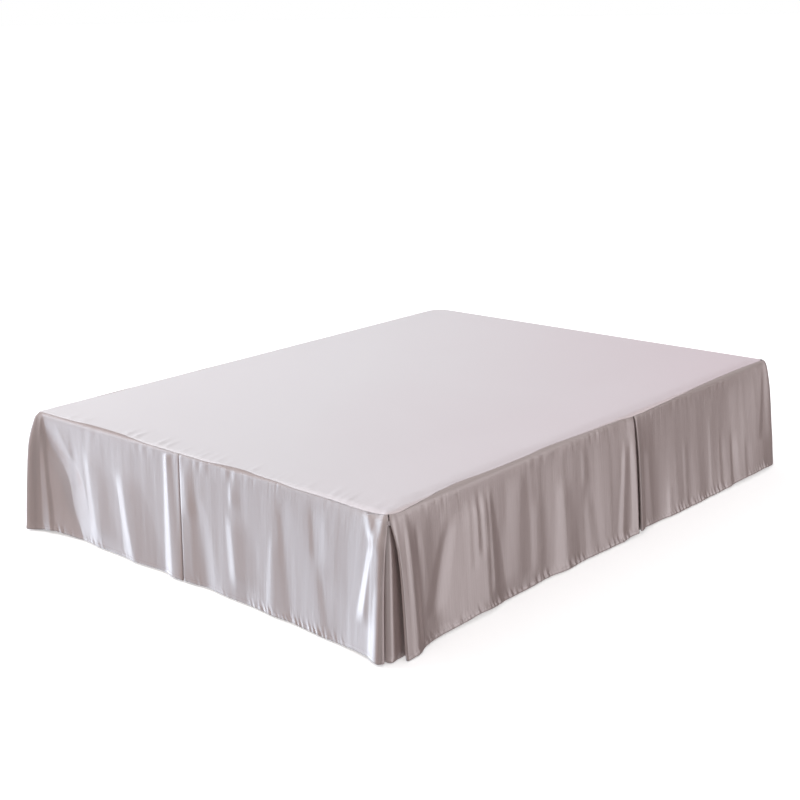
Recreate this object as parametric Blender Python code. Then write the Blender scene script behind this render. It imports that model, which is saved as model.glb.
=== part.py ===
"""A pleated bed skirt hanging from its platform cloth over a plain bed base.

Metres, +Z up. The origin is on the floor under the middle of the bed. The foot of the bed faces -Y,
its head +Y, and +X is the long side nearest the open corner pleat.
"""

import math
from collections import namedtuple

import bmesh
import bpy
from mathutils import Vector

# ---- driving dimensions, in metres --------------------------------------------------------------
BED_WIDTH = 1.524          # a queen size bed, across the foot
BED_LENGTH = 2.032         # from foot to head
DECK_HEIGHT = 0.3986       # floor to the top of the platform cloth
FOOT_RADIUS = 0.030        # the two corners at the foot, seen from above
NEAR_HEAD_RADIUS = 0.032   # the head corner at +X
FAR_HEAD_RADIUS = 0.070    # the head corner at -X, which is rounder
HEAD_SKEW = 0.008          # the cloth is pulled on a little askew: longer at +X, shorter at -X
CLOTH = 0.0018             # thickness of a sheet, with its weave and its hem
GAP = 0.0003               # between pieces that touch
SEAM_GAP = 0.0007          # between the platform cloth's edge and the top of a drop
TURN = 0.009               # radius at which the cloth turns over the edge of the bed
PITCH = 0.0030             # from one layer of a closed pleat to the next
PLEAT_DEPTH = 0.062        # how far a pleat's folds reach behind the panels
HEAD_WRAP = 0.085          # how far a side drop runs on round the head corner
HEM_HEIGHT = 0.0065        # the hem hangs this far over the floor
CORNER_HEM = 0.0030        # and this far at the foot corners, where the cloth spreads out
CORNER_HEM_WIDTH = 0.09    # how far from a foot corner that can be seen

BASE_INSET = 0.0125        # the box base's faces behind the line of the drops
BASE_HEIGHT = 0.229        # a 9 in foundation
BASE_EDGE = 0.006          # softened top and bottom edges
LEG_RADIUS = 0.025
LEG_SIDES = 20
LEG_PLACES_X = (-0.620, 0.620)
LEG_PLACES_Y = (-0.860, 0.0, 0.860)

# ---- how the drops hang --------------------------------------------------------------------------
# Each row is one crest, trough or shoulder of the wavy hem: its place along the face, how far it
# stands out there at the hem in millimetres, and belly, the power of its fall: a low belly swings
# out straight under the seam, and 1.0 leans out evenly all the way down.
Wave = namedtuple("Wave", "along out belly")

FOOT_WAVES = (
    Wave(-0.7492, 68.0, 0.45),     # the folded edge of the left corner pleat stands well out
    Wave(-0.7382, 44.0, 0.50),
    Wave(-0.7200, 27.0, 0.60),
    Wave(-0.6800, 15.0, 0.70),
    Wave(-0.6300, 6.0, 0.85),
    Wave(-0.5750, 2.0, 0.90),      # trough at the foot of the left corner's flank
    Wave(-0.5200, 6.0, 0.85),
    Wave(-0.4550, 11.5, 0.80),
    Wave(-0.4100, 11.5, 0.85),
    Wave(-0.3000, 13.5, 0.80),
    Wave(-0.2300, 11.0, 0.85),
    Wave(-0.1450, 9.0, 0.90),
    Wave(-0.0750, 16.0, 0.80),     # the panel's edge lifts at the middle pleat
    Wave(-0.0450, 18.0, 0.80),
    Wave(-0.0100, 16.0, 0.80),
    Wave(0.0600, 12.5, 0.80),
    Wave(0.1750, 16.5, 0.80),
    Wave(0.2350, 15.5, 0.80),
    Wave(0.3400, 22.0, 0.80),
    Wave(0.3950, 24.0, 0.80),
    Wave(0.4550, 27.5, 0.78),
    Wave(0.5150, 31.0, 0.75),
    Wave(0.5650, 34.5, 0.72),
    Wave(0.6300, 37.0, 0.66),
    Wave(0.6750, 42.0, 0.60),
    Wave(0.7200, 50.0, 0.55),
    Wave(0.7451, 60.0, 0.50),      # the folded edge of the near corner pleat
)
SIDE_WAVES = (
    Wave(-1.0110, 53.0, 0.55),     # this side's folded edge of the near corner pleat
    Wave(-0.9600, 44.0, 0.60),
    Wave(-0.9100, 33.0, 0.65),
    Wave(-0.8400, 25.0, 0.70),
    Wave(-0.7300, 25.0, 0.75),
    Wave(-0.6300, 26.0, 0.78),
    Wave(-0.5300, 19.0, 0.80),
    Wave(-0.4300, 19.0, 0.80),
    Wave(-0.3400, 16.5, 0.80),
    Wave(-0.2500, 24.0, 0.75),
    Wave(-0.1500, 23.0, 0.75),
    Wave(-0.0300, 30.0, 0.75),
    Wave(0.0600, 31.0, 0.70),
    Wave(0.1300, 41.0, 0.60),      # the panel's edge swings out at the side pleat
    Wave(0.1700, 31.0, 0.70),
    Wave(0.2650, 23.5, 0.90),
    Wave(0.3700, 33.0, 1.00),
    Wave(0.4400, 33.0, 1.00),
    Wave(0.5100, 37.0, 1.00),
    Wave(0.5750, 36.0, 1.00),
    Wave(0.6900, 43.0, 1.00),
    Wave(0.7900, 38.0, 1.00),
    Wave(0.8600, 45.0, 1.00),
    Wave(0.9400, 49.0, 0.85),
    Wave(0.9850, 52.0, 0.65),
    Wave(1.0200, 56.0, 0.55),      # round the head corner
    Wave(1.0700, 38.0, 0.65),
    Wave(1.1600, 26.0, 0.80),
)

# Soft folds that start or end part way down. They run from top to foot along the face, between two
# heights given as parts of the drop, and rise or sink by height millimetres over a half width.
Fold = namedtuple("Fold", "top foot start end half_width height")
FADE_IN = 0.12             # parts of the fall over which a fold rises and dies away
FADE_OUT = 0.15

FOOT_FOLDS = (
    Fold(-0.520, -0.460, 0.10, 0.85, 0.030, 3.5),
    Fold(-0.360, -0.290, 0.30, 0.95, 0.034, 4.0),
    Fold(-0.112, -0.108, 0.02, 0.70, 0.024, 3.0),
    Fold(0.150, 0.165, 0.35, 0.85, 0.028, 3.0),
    Fold(0.360, 0.405, 0.15, 0.90, 0.028, -4.5),
    Fold(0.490, 0.530, 0.02, 0.80, 0.026, -3.5),
    Fold(0.700, 0.670, 0.02, 0.75, 0.024, 4.0),
)
SIDE_FOLDS = (
    Fold(-0.930, -0.930, 0.10, 0.80, 0.030, -4.0),
    Fold(-0.780, -0.840, 0.15, 0.70, 0.034, -4.0),
    Fold(-0.655, -0.655, 0.02, 0.55, 0.028, -4.0),
    Fold(-0.520, -0.510, 0.02, 0.75, 0.042, 4.0),
    Fold(-0.415, -0.400, 0.28, 0.80, 0.030, 3.0),
    Fold(-0.285, -0.260, 0.25, 0.80, 0.030, 3.0),
    Fold(0.060, 0.070, 0.20, 0.80, 0.036, 4.0),
    Fold(0.215, 0.205, 0.15, 0.90, 0.030, -3.5),
    Fold(0.640, 0.640, 0.40, 1.00, 0.034, -3.0),
    Fold(0.950, 0.920, 0.05, 0.75, 0.040, -4.5),
)

# How far down its turn over the bed's edge the seam lies: 90 degrees is on the flat of the top.
Seam = namedtuple("Seam", "along angle")
HIGHEST_SEAM = 78.0
BROW_TO_SEAM = 22.0        # least turn between the seam and the brow, where the fall begins

FOOT_SEAM = (
    Seam(-0.760, 78.0),
    Seam(-0.340, 78.0),
    Seam(-0.240, 48.0),
    Seam(0.020, 38.0),
    Seam(0.160, 72.0),
    Seam(0.260, 68.0),
    Seam(0.400, 46.0),
    Seam(0.620, 46.0),
    Seam(0.760, 62.0),
)
SIDE_SEAM = (
    Seam(-1.016, 62.0),
    Seam(-0.640, 50.0),
    Seam(-0.300, 62.0),
    Seam(0.050, 78.0),
    Seam(1.160, 78.0),
)

# An inverted pleat: two folded edges that meet at the seam and part towards the hem, with the
# cloth running on behind them. The four edges are places along the face, and gape is how many
# times its closed pitch the pleat has opened at the hem, less one.
Pleat = namedtuple("Pleat", "left_top left_hem right_top right_hem gape")

FOOT_PLEAT = Pleat(-0.0560, -0.0470, -0.0535, -0.0430, 0.9)
SIDE_PLEAT = Pleat(0.1290, 0.1330, 0.1315, 0.1450, 1.4)
SWING_EASE = 0.7           # how early on its fall a swinging edge leaves its place at the seam
FAN_PARTS = (0.33, 0.66)   # columns between a fixed one and an edge that swings, as parts of the way
POST_MARGIN = 0.004        # least way between a post's column and a folded edge
CORNER_SEAM = 45.0         # degrees round a foot corner at which its two folded edges are sewn
CORNER_SIDE_EDGE = 75.0    # degrees round it of the side panel's edge at the hem
CORNER_UNDERLAY = 2.5      # layers behind the front at which the corner's underlay hangs
Corner = namedtuple("Corner", "foot_edge gape depth")  # foot_edge: degrees of the foot panel's edge
NEAR_CORNER = Corner(26.0, 2.3, 0.062)
FAR_CORNER = Corner(33.0, 3.0, 0.040)

# ---- the wall: a walk round the bed --------------------------------------------------------------
# A walk starts in the middle of the foot and runs towards +X, round the corner and up the side.
# A negative walk is its mirror image. Posts stand along it, and everything hangs from them.
FOOT_STRAIGHT = BED_WIDTH / 2 - FOOT_RADIUS
FOOT_ARC = math.pi / 2 * FOOT_RADIUS
SIDE_START = FOOT_STRAIGHT + FOOT_ARC
Run = namedtuple("Run", "length radius posts")


def half_walk(head_radius):
    """The runs of one half of the walk, from the middle of the foot to the middle of the head."""
    return (
        Run(FOOT_STRAIGHT, 0.0, 28),
        Run(FOOT_ARC, FOOT_RADIUS, 6),
        Run(BED_LENGTH - FOOT_RADIUS - head_radius, 0.0, 66),
        Run(math.pi / 2 * head_radius, head_radius, 4),
        Run(BED_WIDTH / 2 - head_radius, 0.0, 24),
    )


NEAR_RUNS = half_walk(NEAR_HEAD_RADIUS)
FAR_RUNS = half_walk(FAR_HEAD_RADIUS)

TOP = DECK_HEIGHT - CLOTH / 2                  # middle of the platform cloth
FALL_ROWS = (0.06, 0.20, 0.44, 0.72, 1.0)      # rows of a drop, as parts of its fall


def side_walk(y):
    """The walk at a place up the near side, where y may run on past the straight."""
    return SIDE_START + y + BED_LENGTH / 2 - FOOT_RADIUS


def corner_walk(degrees):
    """The walk at an angle round the near foot corner."""
    return FOOT_STRAIGHT + math.radians(degrees) * FOOT_RADIUS


def curve(rows, along, value):
    """A smooth curve through one column of a table, level past its ends."""
    if along <= rows[0].along:
        return getattr(rows[0], value)
    if along >= rows[-1].along:
        return getattr(rows[-1], value)
    index = next(i for i in range(len(rows) - 1) if along <= rows[i + 1].along)
    near = rows[index:index + 2]
    before = rows[max(index - 1, 0)]
    after = rows[min(index + 2, len(rows) - 1)]
    width = near[1].along - near[0].along
    start, end = (getattr(row, value) for row in near)
    lean_in = (end - getattr(before, value)) / (near[1].along - before.along) * width
    lean_out = (getattr(after, value) - start) / (after.along - near[0].along) * width
    t = (along - near[0].along) / width
    return ((1 + 2 * t) * (1 - t) ** 2 * start + t * (1 - t) ** 2 * lean_in
            + t * t * (3 - 2 * t) * end - t * t * (1 - t) * lean_out)


def on_walk(rows, place):
    """A side table's rows with their places turned into walks."""
    return tuple(row._replace(along=place(row.along)) for row in rows)


def folds_on_walk(rows):
    """A side table's folds with their places turned into walks."""
    return tuple(row._replace(top=side_walk(row.top), foot=side_walk(row.foot)) for row in rows)


def mirrored(rows):
    """The far side hangs as the near one does, so its tables are turned round."""
    return tuple(row._replace(along=-row.along) for row in reversed(rows))


NEAR_WAVES = on_walk(SIDE_WAVES, side_walk)
NEAR_SEAM = on_walk(SIDE_SEAM, side_walk)
NEAR_FOLDS = folds_on_walk(SIDE_FOLDS)
WAVES = mirrored(NEAR_WAVES) + FOOT_WAVES + NEAR_WAVES
SEAMS = mirrored(NEAR_SEAM) + FOOT_SEAM + NEAR_SEAM
FOLDS = FOOT_FOLDS + NEAR_FOLDS + tuple(
    fold._replace(top=-fold.top, foot=-fold.foot) for fold in NEAR_FOLDS)

Post = namedtuple("Post", "walk place outward out belly seam hem")
SAME_PLACE = 0.001         # walks closer than this count as one


def in_corner(walk):
    """Whether a walk is on one of the four round corners, both ends counted in."""
    runs = FAR_RUNS if walk < 0.0 else NEAR_RUNS
    start = 0.0
    for run in runs:
        if run.radius and start - SAME_PLACE < abs(walk) < start + run.length + SAME_PLACE:
            return True
        start += run.length
    return False


def bend(walk):
    """A point of the wall and its outward direction, in plan."""
    left = abs(walk)
    place = Vector((0.0, -BED_LENGTH / 2))
    heading = 0.0
    for run in FAR_RUNS if walk < 0.0 else NEAR_RUNS:
        step = min(left, run.length)
        if run.radius:
            centre = place + run.radius * Vector((-math.sin(heading), math.cos(heading)))
            heading += step / run.radius
            place = centre + run.radius * Vector((math.sin(heading), -math.cos(heading)))
        else:
            place = place + step * Vector((math.cos(heading), math.sin(heading)))
        left -= step
        if left <= 0.0:
            break
    outward = Vector((math.sin(heading), -math.cos(heading)))
    if walk < 0.0:
        place.x, outward.x = -place.x, -outward.x
    return place, outward


def askew(place):
    """How far the cloth's pull moves a point towards the head."""
    return HEAD_SKEW * place.x / (BED_WIDTH / 2) * (place.y / BED_LENGTH + 0.5)


def brow_of(out, belly, hem):
    """The angle on the turn at which the cloth leaves it, from how it starts to fall."""
    first = FALL_ROWS[0]
    return math.degrees(math.atan2(out * first ** belly, (TOP - hem) * first))


def make_post(walk):
    """The wall at one place of the walk."""
    place, outward = bend(walk)
    place.y += askew(place)
    out = curve(WAVES, walk, "out") / 1000.0
    belly = curve(WAVES, walk, "belly")
    near_corner = math.exp(-((abs(walk) - corner_walk(CORNER_SEAM)) / CORNER_HEM_WIDTH) ** 2)
    hem = HEM_HEIGHT + (CORNER_HEM - HEM_HEIGHT) * near_corner
    lowest = brow_of(out, belly, hem) + BROW_TO_SEAM
    seam = min(max(curve(SEAMS, walk, "angle"), lowest), HIGHEST_SEAM)
    return Post(walk, place, outward, out, belly, seam, hem)


def walks_of(runs):
    """Where the posts of one half stand, without the one in the middle of the foot."""
    walks = []
    start = 0.0
    for run in runs:
        walks += [start + run.length * (i + 1) / run.posts for i in range(run.posts)]
        start += run.length
    return walks


def make_posts():
    """The posts in order, the seam straight between every other one, where the deck has no post."""
    near = walks_of(NEAR_RUNS)
    far = [-walk for walk in reversed(walks_of(FAR_RUNS))]
    posts = [make_post(walk) for walk in far + [0.0] + near]
    for index in range(1, len(posts) - 1, 2):
        if not in_corner(posts[index].walk):
            seam = (posts[index - 1].seam + posts[index + 1].seam) / 2
            posts[index] = posts[index]._replace(seam=seam)
    return posts


POSTS = make_posts()


def between(walk):
    """The wall at a walk, on the straight line between its two nearest posts."""
    last = len(POSTS) - 2
    index = next((i for i in range(last) if walk <= POSTS[i + 1].walk), last)
    one, two = POSTS[index:index + 2]
    t = (walk - one.walk) / (two.walk - one.walk)
    return Post(*(a + (b - a) * t for a, b in zip(one, two)))


def soft_step(value):
    """A smooth rise from 0 to 1 as value does the same."""
    t = min(max(value, 0.0), 1.0)
    return t * t * (3 - 2 * t)


def folds_at(walk, fall):
    """Height of the soft folds at a walk and a part of the fall, in metres."""
    total = 0.0
    for fold in FOLDS:
        middle = fold.top + (fold.foot - fold.top) * fall
        reach = abs(walk - middle) / fold.half_width
        if reach < 1.0:
            fade = soft_step((fall - fold.start) / FADE_IN) * soft_step((fold.end - fall) / FADE_OUT + 1.0)
            total += fold.height / 1000.0 * fade * soft_step(1.0 - reach)
    return total


def hang(walk, layer, gape, row):
    """One point of hanging cloth: its walk, how many layers behind the front, and its row.

    Rows 0 to 2 lie on the turn over the bed's edge, and the rest go down the fall.
    """
    post = between(walk)
    brow = brow_of(post.out, post.belly, post.hem)
    if row <= 2:
        angle = math.radians(post.seam + (brow - post.seam) * row / 2)
        radius = TURN - layer * PITCH
        out = -TURN + radius * math.cos(angle)
        height = TOP - TURN + radius * math.sin(angle)
    else:
        fall = FALL_ROWS[row - 3]
        rise = post.out * fall ** post.belly + folds_at(walk, fall)
        out = rise - layer * PITCH * (1.0 + gape * math.sqrt(fall))
        start = TOP - TURN + TURN * math.sin(math.radians(brow))
        height = start + (post.hem - start) * fall
    place = post.place + post.outward * out
    return Vector((place.x, place.y, height))


# ---- columns: the order in which a drop's cloth runs ----------------------------------------------
# A column is one line of cloth from seam to hem: its walk at each end, a sideways step counted in
# layers, how many layers behind the front it lies, and how far its pleat gapes.
Column = namedtuple("Column", "top hem step layer gape")
FOLD_ANGLES = (0.0, 60.0, 120.0, 180.0)        # columns round one folded edge
ROWS = 3 + len(FALL_ROWS)


def stretch(walk, fall):
    """How much longer the cloth is than the walk it covers, where it fans out round a foot corner."""
    if not FOOT_STRAIGHT < abs(walk) < SIDE_START:
        return 1.0
    post = between(walk)
    return 1.0 + post.out * fall ** post.belly / FOOT_RADIUS


def point(column, row):
    """Where a column crosses a row."""
    fall = 0.0 if row < 3 else FALL_ROWS[row - 3]
    walk = column.top + (column.hem - column.top) * fall ** SWING_EASE
    spacing = PITCH * (1.0 + column.gape * math.sqrt(fall))
    return hang(walk + column.step * spacing / stretch(walk, fall), column.layer, column.gape, row)


def straight(start, stop, layer, gape=0.0, posts=POSTS):
    """Columns on every post from start to stop, whichever way the cloth runs."""
    low, high = sorted((start, stop))
    margin = PITCH * (1.0 + gape) / 2 + POST_MARGIN
    walks = [post.walk for post in posts if low + margin < post.walk < high - margin]
    if stop < start:
        walks.reverse()
    return [Column(walk, walk, 0.0, layer, gape) for walk in walks]


def folded_edge(top, hem, nose, first, last, gape):
    """Columns round a fold that runs from seam to hem; nose is +1 or -1, the way it points."""
    columns = []
    for angle in FOLD_ANGLES:
        turn = math.radians(angle)
        step = nose * (math.sin(turn) - 1.0) / 2
        layer = first + (last - first) * (1.0 - math.cos(turn)) / 2
        columns.append(Column(top, hem, step, layer, gape))
    return columns


def slide(post_walk, top, hem, layer, gape):
    """Columns that fan out between a fixed post and an edge that swings."""
    ways = [((top - post_walk) * part, (hem - post_walk) * part) for part in FAN_PARTS]
    return [Column(post_walk + way_top, post_walk + way_hem, 0.0, layer, gape) for way_top, way_hem in ways]


def inverted_pleat(pleat, posts=POSTS):
    """Columns from the left panel's folded edge, behind both panels, to the right panel's."""
    back_left = min(pleat.left_top, pleat.left_hem) - PLEAT_DEPTH
    back_right = max(pleat.right_top, pleat.right_hem) + PLEAT_DEPTH
    gape = pleat.gape
    return (folded_edge(pleat.left_top, pleat.left_hem, 1, 0, 1, gape)
            + straight(pleat.left_hem, back_left, 1, gape, posts)
            + folded_edge(back_left, back_left, -1, 1, 2, gape)
            + straight(back_left, back_right, 2, gape, posts)
            + folded_edge(back_right, back_right, 1, 2, 1, gape)
            + straight(back_right, pleat.right_hem, 1, gape, posts)
            + folded_edge(pleat.right_top, pleat.right_hem, -1, 1, 0, gape))


CORNER_TOP = corner_walk(CORNER_SEAM)
SIDE_EDGE = corner_walk(CORNER_SIDE_EDGE)
UNDERLAY_END = SIDE_EDGE + PLEAT_DEPTH         # the seam hidden behind the side panel
FAN_FOOT = FOOT_STRAIGHT                       # the last fixed post of the foot panel
FAN_SIDE = SIDE_START                          # the first fixed post of the side panel
EDGE_GAP = 0.0017                              # between the two edges where they are sewn


def foot_corner(corner):
    """From the foot panel's last post round its folded edge and on behind both panels."""
    edge_top = CORNER_TOP - EDGE_GAP
    edge_hem = corner_walk(corner.foot_edge)
    back = CORNER_TOP - corner.depth               # the fold behind the foot panel
    gape = corner.gape
    fan = slide(FAN_FOOT, edge_top, edge_hem, 1, gape)
    return (slide(FAN_FOOT, edge_top, edge_hem, 0, 0.0)
            + folded_edge(edge_top, edge_hem, 1, 0, 1, gape)
            + fan[::-1]
            + [Column(FAN_FOOT, FAN_FOOT, 0.0, 1, gape)]
            + straight(FAN_FOOT, back, 1, gape)
            + folded_edge(back, back, -1, 1, CORNER_UNDERLAY, gape)
            + straight(back, UNDERLAY_END, CORNER_UNDERLAY, gape)
            + [Column(UNDERLAY_END, UNDERLAY_END, 0.0, CORNER_UNDERLAY, gape)])


def flipped(columns):
    """The same run of cloth at the mirrored corner, in the order left to right."""
    return [column._replace(top=-column.top, hem=-column.hem, step=-column.step)
            for column in reversed(columns)]


def foot_columns():
    """The foot drop, from the end of one underlay to the end of the other."""
    fixed_right = [Column(FAN_FOOT, FAN_FOOT, 0.0, 0, 0.0)]
    fixed_left = [Column(-FAN_FOOT, -FAN_FOOT, 0.0, 0, 0.0)]
    return (flipped(foot_corner(FAR_CORNER)) + fixed_left
            + straight(-FAN_FOOT, FOOT_PLEAT.left_top, 0)
            + inverted_pleat(FOOT_PLEAT)
            + straight(FOOT_PLEAT.right_hem, FAN_FOOT, 0)
            + fixed_right + foot_corner(NEAR_CORNER))


def side_columns(corner, runs, posts):
    """A side drop, from the end of its corner return to its hemmed end at the head."""
    edge_top = CORNER_TOP + EDGE_GAP
    gape = corner.gape
    end = sum(run.length for run in runs[:4]) + HEAD_WRAP
    pleat = Pleat(*(side_walk(y) for y in SIDE_PLEAT[:4]), SIDE_PLEAT.gape)
    fan = slide(FAN_SIDE, edge_top, SIDE_EDGE, 1, gape)
    return ([Column(UNDERLAY_END, UNDERLAY_END, 0.0, 1, gape)]
            + straight(UNDERLAY_END, FAN_SIDE, 1, gape, posts)
            + [Column(FAN_SIDE, FAN_SIDE, 0.0, 1, gape)]
            + fan
            + folded_edge(edge_top, SIDE_EDGE, -1, 1, 0, gape)
            + slide(FAN_SIDE, edge_top, SIDE_EDGE, 0, 0.0)[::-1]
            + [Column(FAN_SIDE, FAN_SIDE, 0.0, 0, 0.0)]
            + straight(FAN_SIDE, pleat.left_top, 0, 0.0, posts)
            + inverted_pleat(pleat, posts)
            + straight(pleat.right_hem, end, 0, 0.0, posts)
            + [Column(end, end, 0.0, 0, 0.0)])


# ---- making the pieces ---------------------------------------------------------------------------
SHARP_ANGLE = 40.0         # edges sharper than this stay sharp, in degrees


def make_material(name, colour, roughness):
    """A plain coloured material."""
    material = bpy.data.materials.new(name)
    material.use_nodes = True
    shader = material.node_tree.nodes["Principled BSDF"]
    shader.inputs["Base Color"].default_value = (*colour, 1.0)
    shader.inputs["Roughness"].default_value = roughness
    return material


def add_piece(name, mesh_work, material):
    """Turn a bmesh into a named object, with its faces pointing out."""
    mesh = bpy.data.meshes.new(name)
    mesh_work.to_mesh(mesh)
    mesh_work.free()
    piece = bpy.data.objects.new(name, mesh)
    bpy.context.scene.collection.objects.link(piece)
    mesh.materials.append(material)
    mesh.shade_smooth()
    mesh.set_sharp_from_angle(angle=math.radians(SHARP_ANGLE))
    return piece


def thicken(piece):
    """Give a sheet its cloth thickness, half to each side of its middle."""
    solidify = piece.modifiers.new("cloth", "SOLIDIFY")
    solidify.thickness = CLOTH
    solidify.offset = 0.0
    solidify.use_rim = True
    return piece


def make_drop(name, columns, material):
    """A flat grid of cloth, one line of points for each column, hung from the bed's edge."""
    work = bmesh.new()
    across, down = len(columns) - 1, ROWS - 1
    grid = bmesh.ops.create_grid(work, x_segments=across, y_segments=down, size=0.5)
    for vert in grid["verts"]:
        column = columns[round((vert.co.x + 0.5) * across)]
        row = round((0.5 - vert.co.y) * down)
        vert.co = point(column, row)
    return thicken(add_piece(name, work, material))


def deck_rings():
    """Rows of the platform cloth's rim, as angles down its turn, with the seam's own at the end."""
    seam_slack = math.degrees(SEAM_GAP / TURN)
    for post in deck_posts():
        last = post.seam + seam_slack
        yield post, (90.0, (90.0 + last) / 2, last)


def deck_posts():
    """Every other post on the straights and every post round a corner, with no post twice."""
    return [post for index, post in enumerate(POSTS[:-1]) if index % 2 == 0 or in_corner(post.walk)]


def make_deck(material):
    """The platform cloth: flat on the base, turned down at its edge to meet each drop's seam."""
    work = bmesh.new()
    outline = []
    for post, angles in deck_rings():
        flat = post.place - post.outward * TURN
        rim = [work.verts.new((flat.x, flat.y, TOP))]
        for angle in angles[1:]:
            turn = math.radians(angle)
            place = post.place + post.outward * (TURN * math.cos(turn) - TURN)
            rim.append(work.verts.new((place.x, place.y, TOP - TURN + TURN * math.sin(turn))))
        outline.append(rim)
    work.faces.new([rim[0] for rim in outline])
    for one, two in zip(outline, outline[1:] + outline[:1]):
        for row in range(len(one) - 1):
            work.faces.new((one[row], one[row + 1], two[row + 1], two[row]))
    bmesh.ops.recalc_face_normals(work, faces=work.faces)
    return thicken(add_piece("deck_cloth", work, material))


def make_base(material):
    """A plain box foundation with round corners, under the platform cloth."""
    top = DECK_HEIGHT - CLOTH - GAP
    work = bmesh.new()
    outline = []
    for walk in (post.walk for post in POSTS if in_corner(post.walk)):
        place, outward = bend(walk)
        place -= outward * BASE_INSET
        outline.append(work.verts.new((place.x, place.y, top - BASE_HEIGHT)))
    floor = work.faces.new(outline)
    raised = bmesh.ops.extrude_face_region(work, geom=[floor])
    roof = [item for item in raised["geom"] if isinstance(item, bmesh.types.BMVert)]
    bmesh.ops.translate(work, verts=roof, vec=(0.0, 0.0, BASE_HEIGHT))
    bmesh.ops.recalc_face_normals(work, faces=work.faces)
    rims = [edge for edge in work.edges if abs(edge.verts[0].co.z - edge.verts[1].co.z) < 1e-6]
    bmesh.ops.bevel(work, geom=rims, offset=BASE_EDGE, segments=2, profile=0.5, affect="EDGES", material=-1)
    return add_piece("box_base", work, material)


def make_leg(name, x, y, height, material):
    """A plain round leg that stands on the floor."""
    work = bmesh.new()
    bmesh.ops.create_cone(work, cap_ends=True, segments=LEG_SIDES, radius1=LEG_RADIUS, radius2=LEG_RADIUS,
                          depth=height)
    bmesh.ops.translate(work, verts=work.verts, vec=(x, y, height / 2))
    return add_piece(name, work, material)


def main():
    for old in list(bpy.data.objects):
        bpy.data.objects.remove(old, do_unlink=True)

    satin = make_material("satin", (0.55, 0.49, 0.51), 0.35)
    plain_weave = make_material("plain_weave", (0.72, 0.66, 0.69), 0.85)
    ticking = make_material("ticking", (0.80, 0.78, 0.75), 0.90)
    wood = make_material("wood", (0.42, 0.28, 0.17), 0.55)

    make_deck(plain_weave)
    make_drop("foot_drop", foot_columns(), satin)
    make_drop("near_side_drop", side_columns(NEAR_CORNER, NEAR_RUNS, POSTS), satin)
    far_posts = [post._replace(walk=-post.walk) for post in reversed(POSTS)]
    make_drop("far_side_drop", flipped(side_columns(FAR_CORNER, FAR_RUNS, far_posts)), satin)
    make_base(ticking)
    leg_height = DECK_HEIGHT - CLOTH - GAP - BASE_HEIGHT - GAP
    number = 0
    for y in LEG_PLACES_Y:
        for x in LEG_PLACES_X:
            number += 1
            make_leg("leg_%d" % number, x, y, leg_height, wood)


main()
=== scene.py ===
# %% [markdown]
# # A satin bed skirt, hung from its platform cloth
#
# A bed skirt is three long strips of cloth sewn round a plain sheet. The sheet, the platform cloth, lies
# on the bed base where the mattress presses it down, and the strips, the drops, hang from its edge to the
# floor and hide the base. This one is tailored: its drops are flat but for an inverted pleat in the middle
# of each, and at both corners of the foot the drops part over an underlay, so the cloth can turn there.
#
# The lesson has three parts: where the cloth hangs, which is mostly a walk round the bed and a few short
# tables; how satin, plain weave, ticking and wood get their looks; and the camera, light and floor.

# %% The frame
import math
from collections import namedtuple
from functools import lru_cache

import bmesh
import bpy
from mathutils import Matrix, Vector, noise


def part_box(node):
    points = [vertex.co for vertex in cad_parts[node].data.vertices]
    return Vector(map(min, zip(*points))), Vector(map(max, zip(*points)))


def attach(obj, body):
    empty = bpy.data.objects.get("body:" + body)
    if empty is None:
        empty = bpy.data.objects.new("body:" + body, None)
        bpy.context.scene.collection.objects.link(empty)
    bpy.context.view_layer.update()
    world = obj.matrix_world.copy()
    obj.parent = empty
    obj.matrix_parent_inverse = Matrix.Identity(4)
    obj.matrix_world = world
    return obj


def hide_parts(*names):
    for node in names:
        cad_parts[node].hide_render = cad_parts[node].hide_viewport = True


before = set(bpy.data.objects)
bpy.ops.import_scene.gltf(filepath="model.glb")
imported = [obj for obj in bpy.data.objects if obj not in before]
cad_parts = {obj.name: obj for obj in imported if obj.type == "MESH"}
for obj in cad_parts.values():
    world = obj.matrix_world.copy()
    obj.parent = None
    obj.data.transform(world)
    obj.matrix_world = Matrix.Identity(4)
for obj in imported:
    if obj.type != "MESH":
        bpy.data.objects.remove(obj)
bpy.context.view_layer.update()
print("solids in the frame:", sorted(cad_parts))

# %% [markdown]
# ## The bed's sizes
#
# Everything hangs from one line, the edge of a queen size bed seen from above. The sizes are the ones the
# solids were built from. The platform cloth's solid gives the height; the rest is the bed's own size, the
# radius of each corner and the small radius at which the cloth turns over the edge.

# %% Driving sizes, in metres
BED_WIDTH = 1.524
BED_LENGTH = 2.032
DECK_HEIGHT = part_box("deck_cloth")[1][2]
FOOT_RADIUS = 0.030        # the two corners at the foot, seen from above
NEAR_HEAD_RADIUS = 0.032   # the head corner at +X
FAR_HEAD_RADIUS = 0.070    # the head corner at -X
CORNER_PUSH = 0.008        # the cloth stands out at a foot corner, where seam and hem are thickest
HEAD_SKEW = 0.008          # the cloth is pulled on a little askew
SOLID_CLOTH = 0.0018       # the thickness of the solids' cloth
CLOTH = 0.0012             # a single layer as it is drawn here
TURN = 0.015               # radius at which the cloth turns over the edge
PITCH = 0.0030             # from one layer of a closed pleat to the next
PLEAT_DEPTH = 0.062
HEAD_WRAP = 0.085          # how far a side drop runs on round the head corner
HEM_HEIGHT = 0.0065
CORNER_HEM = 0.0030        # the hem at the foot corners, where the cloth spreads out
CORNER_HEM_WIDTH = 0.09
TOP = DECK_HEIGHT - SOLID_CLOTH / 2
print("top of the platform cloth: %.4f m" % DECK_HEIGHT)

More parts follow.
